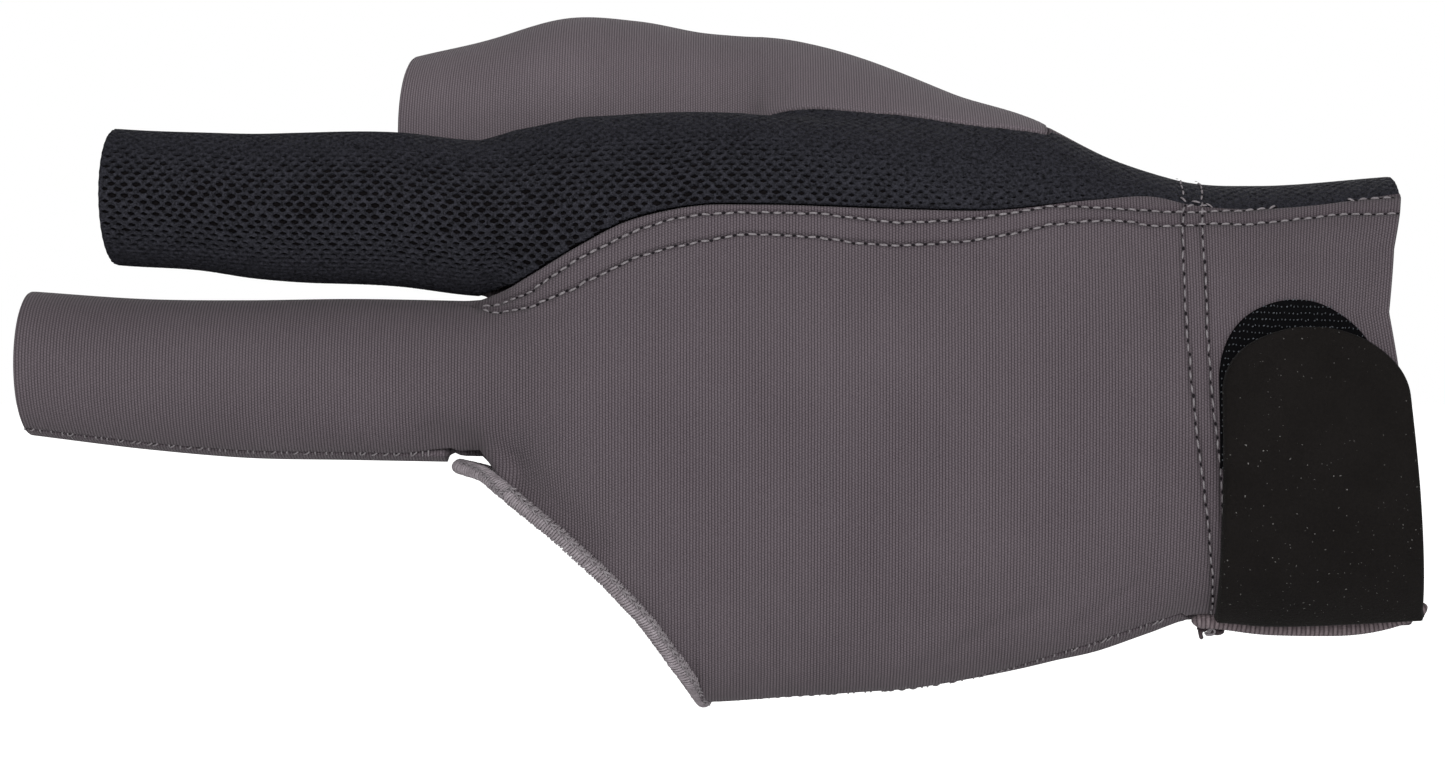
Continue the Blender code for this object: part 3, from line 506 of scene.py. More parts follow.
# Rows round the cuff: z and x in millimetres
CUFF_ROW = (
    (-33.0, -25.6), (-25.3, -26.3), (-17.4, -27.5), (-6.9, -29.0), (3.3, -30.2), (11.6, -30.8), (18.0, -31.0),
    (24.4, -30.8), (33.0, -29.8),
)
CUFF_EDGE_ROW = (
    (-33.0, -24.3), (-26.2, -24.7), (-8.9, -26.2), (1.5, -27.4), (9.6, -27.9), (18.0, -28.0), (24.4, -28.1),
    (33.0, -27.0),
)
FOLDS = (
    # depth out of the cloth, half width, then x and z along the fold, all in millimetres
    (0.35, 1.9, ((-31.9, 23.0), (-32.7, 10.5), (-33.0, -1.8), (-33.2, -12.8), (-32.9, -26.9))),
    (-0.40, 1.3, ((-35.6, 21.0), (-35.2, 14.7), (-35.2, -1.8), (-35.4, -12.8), (-35.3, -26.9))),
    (-0.35, 0.9, ((-38.5, 24.0), (-37.4, 21.5), (-36.2, 18.1), (-35.2, 14.7))),
    (-1.10, 3.2, ((-133.8, -4.7), (-128.5, -6.9), (-122.6, -10.2), (-117.4, -14.6), (-112.3, -19.2))),
    (0.25, 2.0, ((-125.0, 9.0), (-117.0, 11.5), (-110.0, 15.5))),
    (-0.45, 0.8, ((-90.0, 41.6), (-84.0, 41.0), (-77.8, 41.0), (-69.4, 40.3), (-56.8, 39.3))),
    (-0.50, 1.4, ((-80.7, 40.1), (-76.4, 41.5), (-72.1, 42.1))),
    (-0.30, 1.2, ((-62.0, -34.0), (-56.0, -30.0), (-50.0, -28.0))),
    (0.30, 1.8, ((-70.0, -36.0), (-62.0, -31.0), (-54.0, -27.5))),
    (-0.30, 1.0, ((-46.0, -31.5), (-41.0, -27.5), (-37.0, -25.0))),
    (0.25, 2.2, ((-106.0, -24.0), (-98.0, -30.0), (-90.0, -36.0))),
    (-0.25, 2.4, ((-101.0, -22.0), (-92.0, -28.0), (-84.0, -35.0))),
)
PALM_FOLDS = (
    (-0.8, 2.2, ((-100.0, 28.0), (-92.0, 22.0), (-80.0, 16.0), (-62.0, 12.0), (-45.0, 10.0))),
    (0.4, 2.6, ((-98.0, 22.0), (-88.0, 16.0), (-74.0, 10.0), (-58.0, 6.0))),
    (-0.5, 1.6, ((-108.0, -10.0), (-100.0, 0.0), (-97.0, 10.0))),
    (-0.4, 1.4, ((-36.0, 22.0), (-35.0, 8.0), (-35.5, -8.0), (-35.0, -22.0))),
    (0.35, 1.9, ((-32.6, 22.0), (-32.6, 0.0), (-32.6, -22.0))),
)


def millimetres(rows):
    return np.array(rows, float) / 1000


def line_distance(px, pz, line):
    """Signed distance in the plane of X and Z from a line of points; positive above it."""
    best = np.full(px.shape, 1e9)
    sign = np.ones(px.shape)
    for (ax, az), (bx, bz) in zip(line, line[1:]):
        dx, dz = bx - ax, bz - az
        t = np.clip(((px - ax) * dx + (pz - az) * dz) / (dx * dx + dz * dz), 0.0, 1.0)
        ox, oz = px - ax - t * dx, pz - az - t * dz
        d = np.hypot(ox, oz)
        nearer = d < best
        best = np.where(nearer, d, best)
        sign = np.where(nearer, np.sign(dx * oz - dz * ox), sign)
    return best * sign


def fold_height(points, rows):
    total = np.zeros(points.shape[:-1])
    for depth, width, line in rows:
        d = line_distance(points[..., 0], points[..., 2], millimetres(line))
        total += depth / 1000 * np.exp(-(d / (width / 1000)) ** 2)
    return total


def row_cast(names, x, start, way_x, way_y, way_z, far=0.75 * PALM_WIDTH, steps=130):
    """Distance along each ray of one section to the surface."""
    level = not np.any(way_x)

    def value(t):
        across = x if level else x + way_x[:, None] * t
        return outside(names, across, start[0] + way_y[:, None] * t, start[1] + way_z[:, None] * t)

    t = np.broadcast_to(np.linspace(0.0, far, steps), (len(way_y), steps))
    values = value(t)
    crossed = np.sign(values) != np.sign(values[:, :1])
    first = np.where(crossed.any(-1), crossed.argmax(-1), steps - 1)
    low, high = t[0][first - 1], t[0][first]
    sign = np.sign(values[:, 0])
    for _ in range(14):
        middle = (low + high) / 2
        same = np.sign(value(middle[:, None])[:, 0]) == sign
        low, high = np.where(same, middle, low), np.where(same, high, middle)
    return (low + high) / 2


def edge_spread(length, count):
    """Distances along a row, close together at both ends so that the edges can be round."""
    ends = np.array(EDGE_STEPS) * min(1.0, length / 0.004)
    inner = np.linspace(ends[-1] * 2.2, length - ends[-1] * 2.2, count + 1 - 2 * len(ends))
    return np.concatenate([ends, inner, length - ends[::-1]])


def fine_row(limb, names, x, first, last, sense, count, insets, lean, middle_angle):
    """Points of one section from seam to seam, and their distance round it from the given direction."""
    y, z = (float(v) for v in LIMBS[limb].at(x)[:2])
    a = math.atan2(first[2] - z, -(first[1] - y))
    b = math.atan2(last[2] - z, -(last[1] - y))
    turn = (sense * (b - a)) % (2 * math.pi)
    turn = 2 * math.pi if turn < 0.02 else turn
    angle = a + sense * turn * np.linspace(0.0, 1.0, RAYS)
    way_x, way_y, way_z = -lean * np.cos(angle), -np.cos(angle), np.sin(angle)
    t = row_cast(names, x, (y, z), way_x, way_y, way_z)
    line = np.stack([x + way_x * t, y + way_y * t, z + way_z * t], -1)
    length = np.concatenate([[0.0], np.cumsum(np.linalg.norm(np.diff(line, axis=0), axis=1))])
    spare = min(1.0, 0.3 * length[-1] / max(insets[0] + insets[1], 1e-9))
    begin, end = insets[0] * spare, length[-1] - insets[1] * spare
    s = begin + edge_spread(end - begin, count)
    share = ((sense * (math.radians(middle_angle) - a)) % (2 * math.pi)) / turn
    share = share if share <= 1.0 else (1.0 if share < 0.5 + math.pi / turn else 0.0)
    zero = np.interp(share * (RAYS - 1), np.arange(RAYS), length)
    row = np.stack([np.interp(s, length, line[:, k]) for k in range(3)], -1)
    return row, s - zero


def fine_stations(far):
    """Sections from the wrist's rim to a far x, closer together at the rims."""
    count = max(2, round(far / ROW_STEP))
    xs = -np.linspace(0.0, far, count + 1)[1:-1]
    ends = -np.array(EDGE_STEPS)
    return np.concatenate([ends, xs[xs < ends[-1] * 1.5]])


def sections(finger, web, length):
    """Sections of the palm and then of a finger, with both ends' rims and the web."""
    palm = fine_stations(web)
    palm = palm[palm > -web + 0.0002]
    palm = np.concatenate([palm, [-web + 0.0001]])
    count = round(length / ROW_STEP)
    tube = -web - np.linspace(0.0, length, count + 1)
    rim = -web - length + np.array(EDGE_STEPS)[::-1]
    tube = np.concatenate([tube[tube > rim[0] + 0.0003], rim])
    return palm, tube


def border_drop(points, near_rim):
    """How far the outer face falls towards a panel's edges."""
    rows, columns = points.shape[:2]
    steps = np.linalg.norm(np.diff(points, axis=1), axis=-1)
    along = np.concatenate([np.zeros((rows, 1)), np.cumsum(steps, 1)], 1)
    near = np.minimum(along, along[:, -1:] - along)
    near = np.minimum(near, near_rim[:, None])
    lack = np.clip(ROUND - near, 0.0, ROUND)
    return ROUND - np.sqrt(np.maximum(ROUND ** 2 - lack ** 2, 0.0))


class Batch:
    """Vertices and faces of one object, with its UV map and named values."""

    def __init__(self):
        self.points, self.faces, self.uvs, self.marks, self.looks = [], [], [], [], []
        self.count = 0

    def add(self, points, faces, uv=None, marks=None, look=0):
        points = np.asarray(points, float).reshape(-1, 3)
        self.points.append(points)
        self.uvs.append(np.zeros((len(points), 2)) if uv is None else np.asarray(uv).reshape(-1, 2))
        marks = np.full((len(points), 4), 1.0) if marks is None else np.asarray(marks)
        self.marks.append(marks.reshape(-1, 4))
        for face in faces:
            face = np.asarray(face)
            if face.size:
                self.faces.append(face + self.count)
                self.looks.append(np.full(len(face), look))
        self.count += len(points)

    def make(self, name, looks, smooth=True):
        points = np.concatenate(self.points)
        faces = [tuple(int(i) for i in f) for block in self.faces for f in block]
        mesh = bpy.data.meshes.new(name)
        mesh.from_pydata(points.tolist(), [], faces)
        for look in looks:
            mesh.materials.append(look)
        mesh.polygons.foreach_set("material_index", np.concatenate(self.looks).astype(np.int32))
        loops = np.empty(len(mesh.loops), np.int32)
        mesh.loops.foreach_get("vertex_index", loops)
        layer = mesh.uv_layers.new(name="cloth")
        layer.data.foreach_set("uv", np.concatenate(self.uvs)[loops].astype(np.float32).ravel())
        marks = np.concatenate(self.marks)
        for k, mark in enumerate(MARKS):
            values = mesh.attributes.new(mark, "FLOAT", "POINT")
            values.data.foreach_set("value", marks[:, k].astype(np.float32))
        mesh.polygons.foreach_set("use_smooth", np.full(len(mesh.polygons), smooth))
        mesh.validate()
        made = bpy.data.objects.new(name, mesh)
        bpy.context.scene.collection.objects.link(made)
        return made


MARKS = ("row_a", "row_b", "cuff_a", "cuff_b")


def quad_grid(rows, columns, flip=False, closed=False):
    i, j = np.meshgrid(np.arange(rows - 1), np.arange(columns if closed else columns - 1), indexing="ij")
    a = (i * columns + j).ravel()
    b = (i * columns + (j + 1) % columns).ravel()
    quads = np.stack([a, b, b + columns, a + columns], -1)
    return quads[:, ::-1] if flip else quads


def rim_quads(rows, columns, offset, flip):
    """Quads between the borders of two grids of the same size."""
    ring = ([(0, j) for j in range(columns)] + [(i, columns - 1) for i in range(1, rows)]
            + [(rows - 1, j) for j in range(columns - 2, -1, -1)] + [(i, 0) for i in range(rows - 2, 0, -1)])
    index = np.array([i * columns + j for i, j in ring])
    after = np.roll(index, -1)
    quads = np.stack([after, index, index + offset, after + offset], -1)
    return quads[:, ::-1] if flip else quads


# The cuff's back slants: how far its rim moves along X at heights above the middle line, in mm
RIM_LEAN = ((-33.0, 4.4), (-27.0, 2.0), (5.0, -1.8), (13.0, -3.0), (22.0, -1.8), (29.0, 0.0))
LEAN_START, LEAN_PALM = -0.030, 0.004


def lean_at_wrist(points):
    """Points of the cuff's back with the slant of its rim; the palm side stays."""
    height, shift = millimetres(RIM_LEAN).T
    near_rim = np.clip(1 - points[..., 0] / LEAN_START, 0.0, 1.1)
    on_back = np.clip(0.5 - points[..., 1] / LEAN_PALM / 2, 0.0, 1.0)
    moved = np.array(points)
    moved[..., 0] += np.interp(points[..., 2], height, shift) * near_rim * on_back
    return moved


class Panel:
    """Fine grid of one cloth panel: points, normals, distances round each section, round edges."""

    def __init__(self, finger, xs, first, last, sense, count, insets, rim_x, slope, middle_angle, start=0.0):
        rows, around_rows, normal_rows = [], [], []
        for x in xs:
            names = limbs_at(x, finger)
            lean = slope * max(0.0, 1.0 - (x - rim_x) / LEAN_LENGTH)
            row, s = fine_row(finger, names, float(x), first(x), last(x), sense, count,
                              [i(x) for i in insets], lean, middle_angle)
            rows.append(row)
            around_rows.append(s)
            normal_rows.append(normals(names, row))
        self.x = np.array(xs)
        self.points, self.s, self.normals = np.array(rows), np.array(around_rows), np.array(normal_rows)
        self.ease(THUMB_CROTCH if finger == "thumb" else PALM_LENGTH)
        self.points = lean_at_wrist(self.points)
        near = np.min([np.abs(self.x - rim) for rim in (start, rim_x)], axis=0)
        self.drop = border_drop(self.points, near)

    def ease(self, reach):
        """Straight way from the palm's rows to a finger's first one."""
        a = int(np.nonzero(self.x > WEB_EASE - reach)[0][-1])
        b = int(np.nonzero(self.x <= NEAR - reach)[0][0])
        for i in range(a + 1, b):
            t = (self.x[a] - self.x[i]) / (self.x[a] - self.x[b])
            for grid in (self.points, self.s, self.normals):
                grid[i] = grid[a] * (1 - t) + grid[b] * t

    def uv(self):
        return np.stack([np.broadcast_to(self.x[:, None], self.s.shape), self.s], -1) * 1000

    def face(self, height):
        return self.points + self.normals * height[..., None]


def marks_of(points):
    x, z = points[..., 0], points[..., 2]
    back = points[..., 1] < 0.004
    first = line_distance(x, z, millimetres(FIRST_ROW))
    second = line_distance(x, z, millimetres(SECOND_ROW))
    far = np.full(x.shape, 0.05)
    cuff = x - np.interp(z, *millimetres(CUFF_ROW).T)
    edge = x - np.interp(z, *millimetres(CUFF_EDGE_ROW).T)
    return np.stack([np.where(back, first, far), np.where(back, second, far), cuff, edge], -1) * 1000


palm_xs, index_xs = sections("index", PALM_LENGTH, INDEX_LENGTH)
middle_xs = sections("middle", PALM_LENGTH, MIDDLE_LENGTH)[1]
INDEX_RIM, MIDDLE_RIM, THUMB_RIM = index_xs[-1], middle_xs[-1], -THUMB_CROTCH - THUMB_LENGTH


def on_finger(x):
    return x <= -PALM_LENGTH + NEAR


def mesh_low(x):
    return index_low(x) if on_finger(x) else mesh_edge(x)


def back_high(x):
    return middle_top(x) if on_finger(x) else mesh_edge(x)


CROTCH_BESIDE = -0.1262   # beyond this the opening's edge follows the middle finger's underside


def cloth_edge(x, side):
    """Lower edge of the cloth, which ends inside the overlocked band."""
    if not RING_CROTCH_X + NEAR < x < OPENING_X + NEAR:
        return little_edge(x, side)
    z = edge_z(x, 0.4 * EDGE_BAND)
    if x < CROTCH_BESIDE:
        z = max(z, float(point_around("middle", ("middle",), x, -90.0)[2]) + 0.0006)
    return point_from_side(limbs_at(x, "middle"), x, z, side)


def back_low(x):
    return cloth_edge(x, -1)


def palm_low(x):
    return cloth_edge(x, 1)


def palm_weld_low(x):
    return middle_top(x) if on_finger(x) else weld_edge(x)


def palm_weld_high(x):
    return index_low(x) if on_finger(x) else weld_edge(x)


def palm_high(x):
    return thumb_palm_edge(x) if beside_palm(x) else index_top(x)


def weld_inset(x):
    return SEAM_GAP / 2 if on_finger(x) else 0.0


def thumb_slit(x):
    y, z = LIMBS["thumb"].at(x)[:2]
    index_y, index_z = LIMBS["index"].at(x)[:2]
    return point_around("thumb", ("thumb",), x, math.degrees(math.atan2(index_z - z, -(index_y - y))))


def in_tube(x):
    return x <= -THUMB_CROTCH + NEAR


def thumb_front(x):
    return thumb_slit(x) if in_tube(x) else index_top(x)


def thumb_back(x):
    return thumb_slit(x) if in_tube(x) else thumb_palm_edge(x)


def thick(points):
    cuff = np.clip((points[..., 0] + CUFF_LENGTH + 0.001) / 0.001, 0.0, 1.0)
    return CLOTH + (HEM - CLOTH) * cuff


def closed_cloth(name, parts, flip, looks, lining=0.0):
    """Cloth wall of one or more panels, each given with its height and the fall of its edges."""
    batch = Batch()
    for panel, height, drop in parts:
        rows, columns = panel.points.shape[:2]
        count = rows * columns
        outer = panel.face(height - drop - lining).reshape(-1, 3)
        inner = panel.face(-thick(panel.points) + np.minimum(height, 0.0)).reshape(-1, 3)
        faces = [quad_grid(rows, columns, flip), quad_grid(rows, columns, not flip) + count,
                 rim_quads(rows, columns, count, flip)]
        marks = marks_of(panel.points).reshape(-1, 4)
        batch.add(np.concatenate([outer, inner]), faces,
                  np.concatenate([panel.uv().reshape(-1, 2)] * 2), np.concatenate([marks] * 2))
    return batch.make(name, looks)


# Node materials
class Nodes:
    """Short names for building a material's node tree."""

    def __init__(self, name):
        self.material = bpy.data.materials.new(name)
        self.material.use_nodes = True
        self.tree = self.material.node_tree
        self.shader = self.tree.nodes["Principled BSDF"]

    def link(self, value, socket):
        if isinstance(value, (int, float)):
            socket.default_value = value
        elif isinstance(value, tuple):
            socket.default_value = value if len(value) == len(socket.default_value) else (*value, 1.0)
        else:
            self.tree.links.new(value, socket)

    def node(self, kind, **settings):
        made = self.tree.nodes.new(kind)
        for key, value in settings.items():
            setattr(made, key, value)
        return made

    def math(self, operation, a, b=0.0, c=0.0, clamp=False):
        made = self.node("ShaderNodeMath", operation=operation, use_clamp=clamp)
        for value, socket in zip((a, b, c), made.inputs):
            self.link(value, socket)
        return made.outputs[0]

    def value(self, name):
        return self.node("ShaderNodeAttribute", attribute_name=name).outputs["Fac"]

    def cloth(self):
        uv = self.node("ShaderNodeUVMap", uv_map="cloth")
        split = self.node("ShaderNodeSeparateXYZ")
        self.link(uv.outputs[0], split.inputs[0])
        return split.outputs[0], split.outputs[1]

    def noise(self, scale, detail=2.0, rough=0.5, where="Object"):
        place = self.node("ShaderNodeTexCoord")
        made = self.node("ShaderNodeTexNoise")
        self.link(place.outputs[where], made.inputs["Vector"])
        self.link(float(scale), made.inputs["Scale"])
        self.link(float(detail), made.inputs["Detail"])
        self.link(float(rough), made.inputs["Roughness"])
        return made.outputs[0]

    def blend(self, share, a, b):
        made = self.node("ShaderNodeMix", data_type="RGBA")
        self.link(share, made.inputs[0])
        self.link(a, made.inputs[6])
        self.link(b, made.inputs[7])
        return made.outputs[2]

    def bump(self, height, distance, strength=1.0, after=None):
        made = self.node("ShaderNodeBump")
        self.link(strength, made.inputs["Strength"])
        self.link(distance, made.inputs["Distance"])
        self.link(height, made.inputs["Height"])
        if after is not None:
            self.link(after, made.inputs["Normal"])
        return made.outputs[0]

    def near(self, name, width):
        """1 on a stitched row and 0 away from it."""
        share = self.math("DIVIDE", self.value(name), width)
        return self.math("EXPONENT", self.math("MULTIPLY", self.math("MULTIPLY", share, share), -1.0))

    def finish(self, colour, roughness, normal=None, sheen=0.0, specular=0.3, sheen_roughness=0.5):
        inputs = self.shader.inputs
        self.link(colour, inputs["Base Color"])
        self.link(roughness, inputs["Roughness"])
        inputs["Specular IOR Level"].default_value = specular
        inputs["Sheen Weight"].default_value = sheen
        inputs["Sheen Roughness"].default_value = sheen_roughness
        if normal is not None:
            self.link(normal, inputs["Normal"])
        return self.material


WALE = 0.43               # millimetres between two ribs of the knit
COURSE = 0.40


def knit(name, light, dark, wale=WALE, course=COURSE, rows=True):
    """Fine stretch knit: ribs across the hand, crossed by rows of loops, with painted shade in the pits
    between them and, where rows is set, along the stitched rows.
    """
    n = Nodes(name)
    u, v = n.cloth()
    wander = n.math("MULTIPLY", n.math("SUBTRACT", n.noise(420.0, 2.0), 0.5), 0.20)
    ribs = n.math("ADD", n.math("DIVIDE", u, wale), wander)
    rib = n.math("ABSOLUTE", n.math("SINE", n.math("MULTIPLY", ribs, math.pi)))
    odd = n.math("MULTIPLY", n.math("FLOOR", ribs), 0.5)
    loops = n.math("ADD", n.math("DIVIDE", v, course), odd)
    loop = n.math("ABSOLUTE", n.math("SINE", n.math("MULTIPLY", loops, math.pi)))
    height = n.math("MULTIPLY", n.math("POWER", rib, 0.6), n.math("MULTIPLY_ADD", loop, 0.45, 0.55))
    mottle = n.noise(60.0, 4.0)
    fibre = n.noise(5200.0, 2.0)
    shade = n.math("MULTIPLY_ADD", n.math("SUBTRACT", mottle, 0.5), 0.30, height, clamp=True)
    shade = n.math("MULTIPLY_ADD", n.math("SUBTRACT", fibre, 0.5), 0.35, shade, clamp=True)
    # Low places of the knit's height take the dark colour: painted shade in the pits between ribs and loops.
    # The mottle and fibre noise vary the tone.
    colour = n.blend(shade, dark, light)
    normal = n.bump(height, 0.00016, 0.8)
    normal = n.bump(fibre, 0.00006, 0.5, normal)
    if rows:
        total = None
        for mark in MARKS:
            one = n.near(mark, 0.42)
            total = one if total is None else n.math("ADD", total, one)
        total = n.math("MINIMUM", total, 1.0)
        # Darker along the stitched rows: painted shade in their grooves.
        colour = n.blend(n.math("MULTIPLY", total, 0.35), colour, dark)
        normal = n.bump(n.math("SUBTRACT", 1.0, total), 0.00035, 1.0, normal)
    return n.finish(colour, 0.95, normal, 0.04, 0.04)


def mesh_yarn(name):
    n = Nodes(name)
    lumps = n.noise(2300.0, 3.0, 0.65)
    fine = n.noise(7000.0, 2.0)
    height = n.math("MULTIPLY_ADD", fine, 0.35, lumps)
    # The colour follows the bump height: painted glints on the yarn's lumps and painted shade in its hollows,
    # over a random yarn tone.
    shade = n.math("MULTIPLY", n.math("SUBTRACT", height, 0.48), 2.4, clamp=True)
    colour = n.blend(shade, (0.0020, 0.0020, 0.0026), (0.024, 0.024, 0.031))
    return n.finish(colour, 0.75, n.bump(height, 0.0003, 1.0), 0.0, 0.07)


def lining(name):
    n = Nodes(name)
    # Near-black: painted shade of the glove's empty inside, seen through the mesh's holes. The noise varies
    # its tone.
    colour = n.blend(n.noise(900.0, 3.0), (0.0012, 0.0011, 0.0012), (0.006, 0.005, 0.0055))
    return n.finish(colour, 0.95, n.bump(n.noise(2500.0, 2.0), 0.0002), 0.0, 0.01)


def thread(name, light, dark, twist=1500.0):
    n = Nodes(name)
    ply = n.noise(twist, 3.0, 0.6)
    colour = n.blend(ply, dark, light)
    return n.finish(colour, 0.85, n.bump(ply, 0.00012, 0.8), 0.02, 0.05)


def suede(name):
    n = Nodes(name)
    nap = n.noise(2600.0, 4.0, 0.7)
    cloud = n.noise(130.0, 3.0)
    speck = n.noise(3600.0, 0.0)
    shade = n.math("MULTIPLY_ADD", cloud, 0.5, n.math("MULTIPLY", nap, 0.7), clamp=True)
    colour = n.blend(shade, (0.0020, 0.0017, 0.0016), (0.0080, 0.0070, 0.0066))
    lint = n.math("GREATER_THAN", speck, 0.835)
    colour = n.blend(n.math("MULTIPLY", lint, 0.35), colour, (0.30, 0.29, 0.28))
    return n.finish(colour, 0.97, n.bump(nap, 0.00022, 0.9), 0.02, 0.04, 0.35)


def plain(name, colour, roughness=0.8):
    n = Nodes(name)
    grain = n.noise(1800.0, 2.0)
    tint = n.blend(grain, tuple(0.7 * c for c in colour), tuple(1.3 * c for c in colour))
    return n.finish(tint, roughness, n.bump(grain, 0.0001, 0.5), 0.0, 0.02)


# The second colour of each knit is painted shade, used in its pits and along its stitched rows.
GRAY = knit("gray_knit", (0.083, 0.070, 0.078), (0.020, 0.015, 0.018))
THUMB_GRAY = knit("thumb_knit", (0.120, 0.102, 0.113), (0.032, 0.025, 0.029), 0.36, 0.36)
ROLL_GRAY = knit("roll_knit", (0.135, 0.110, 0.117), (0.016, 0.011, 0.013), 0.55, 6.0, rows=False)
YARN = mesh_yarn("air_mesh_yarn")
# Near-black sheet under the mesh's holes: painted shade.
HOLE_SHADE = lining("air_mesh_hole_shade")
STITCH = thread("stitch_thread", (0.20, 0.185, 0.195), (0.06, 0.052, 0.056))
# Dark lens at each needle hole: painted shade of the hole.
NEEDLE_HOLE_SHADE = plain("needle_hole_shade", (0.008, 0.007, 0.008))
OVERLOCK = thread("overlock_thread", (0.26, 0.235, 0.25), (0.07, 0.058, 0.064), 900.0)
SUEDE = suede("strap_suede")
PAD = plain("pad_base", (0.0015, 0.0015, 0.0018))
HOOKS = thread("hook_pile", (0.11, 0.12, 0.135), (0.0005, 0.0005, 0.0006), 2600.0)

# Panels
SEAMS = (seam_inset, seam_inset)
mesh = Panel("index", np.concatenate([palm_xs, index_xs]), index_top, mesh_low, -1, 62, SEAMS,
             INDEX_RIM, INDEX_LEAN, 0.0)
back = Panel("middle", np.concatenate([palm_xs, middle_xs]), back_high, back_low, -1, 120,
             (seam_inset, little_inset), MIDDLE_RIM, MIDDLE_LEAN, 0.0)
palm_a = Panel("middle", np.concatenate([palm_xs, middle_xs]), palm_low, palm_weld_low, -1, 76,
               (little_inset, weld_inset), MIDDLE_RIM, MIDDLE_LEAN, 180.0)
palm_b = Panel("index", np.concatenate([palm_xs, index_xs]), palm_weld_high, palm_high, -1, 60,
               (weld_inset, petal_inset), INDEX_RIM, INDEX_LEAN, 180.0)
petal = palm_xs[(palm_xs < -THUMB_PANEL_END * PALM_LENGTH) & (palm_xs > -THUMB_CROTCH)]
tube_count = round(THUMB_LENGTH / ROW_STEP)
tube = -THUMB_CROTCH - np.linspace(0.0, THUMB_LENGTH, tube_count + 1)
thumb_rim = THUMB_RIM + np.array(EDGE_STEPS)[::-1]
tube = np.concatenate([tube[tube > thumb_rim[0] + 0.0003], thumb_rim])
thumb = Panel("thumb", np.concatenate([petal, tube]), thumb_front, thumb_back, 1, 110,
              (seam_inset, petal_inset), THUMB_RIM, THUMB_LEAN, 0.0, -THUMB_PANEL_END * PALM_LENGTH)

seam_line = np.array([mesh_edge(x) for x in palm_xs])[:, [0, 2]]


def back_height(panel):
    """Folds of the back, and the turned edge that lies on the mesh."""
    height = fold_height(panel.points, FOLDS)
    d = np.abs(line_distance(panel.points[..., 0], panel.points[..., 2], seam_line))
    raised = 0.00038 * (1.0 - np.clip((d - 0.0040) / 0.0025, 0.0, 1.0))
    on_palm = np.clip((panel.points[..., 0] + PALM_LENGTH + 0.002) / 0.004, 0.0, 1.0)
    return height + raised * on_palm


mesh_height = fold_height(mesh.points, FOLDS) * 0.3
back_h = back_height(back)
palm_a_h = np.where(palm_a.points[..., 1] > 0, fold_height(palm_a.points, PALM_FOLDS), 0.0)
palm_b_h = np.where(palm_b.points[..., 1] > 0, fold_height(palm_b.points, PALM_FOLDS), 0.0)
thumb_h = fold_height(thumb.points, FOLDS) + 0.0002

back_cloth = closed_cloth("back_cloth", [(back, back_h, back.drop)], True, [GRAY])
thumb_cloth = closed_cloth("thumb_cloth", [(thumb, thumb_h, thumb.drop)], False, [THUMB_GRAY])
# The mesh panel's body, sunk under the yarn cells: a near-black sheet of painted shade at the bottom of the
# holes.
mesh_cloth = closed_cloth("mesh_hole_shade_sheet", [(mesh, mesh_height, mesh.drop)], True, [HOLE_SHADE], HOLE_DEPTH)


def welded(panel, edge):
    """Fall of a palm half's edges, none along the weld with the other half."""
    drop = panel.drop.copy()
    drop[3:len(palm_xs) - 1, edge] = 0.0
    return drop


palm_parts = [(palm_a, palm_a_h, welded(palm_a, slice(-6, None))),
              (palm_b, palm_b_h, welded(palm_b, slice(0, 6)))]
palm_cloth = closed_cloth("palm_cloth", palm_parts, True, [GRAY])


# Open mesh over the lining, a near-black sheet of painted shade at the bottom of the holes
CELL_LENGTH, CELL_ROW, CELL_POINT = 1.74, 0.85, 0.25     # millimetres


def surface_at(panel, height, x, s):
    """Points and normals of a panel at places given by x and the distance round the section."""
    points, directions = np.empty((len(x), 3)), np.empty((len(x), 3))
    outer = panel.face(height)
    order = np.argsort(-panel.x)
    xs = panel.x[order]
    row = np.clip(np.searchsorted(-xs, -x) - 1, 0, len(xs) - 2)
    share = np.clip((xs[row] - x) / np.maximum(xs[row] - xs[row + 1], 1e-9), 0.0, 1.0)
    for i in np.unique(row):
        here = row == i
        for k in range(3):
            for target, source in ((points, outer), (directions, panel.normals)):
                a = np.interp(s[here], panel.s[order[i]], source[order[i], :, k])
                b = np.interp(s[here], panel.s[order[i + 1]], source[order[i + 1], :, k])
                target[here, k] = a * (1 - share[here]) + b * share[here]
    return points, directions / np.maximum(np.linalg.norm(directions, axis=1, keepdims=True), 1e-9)


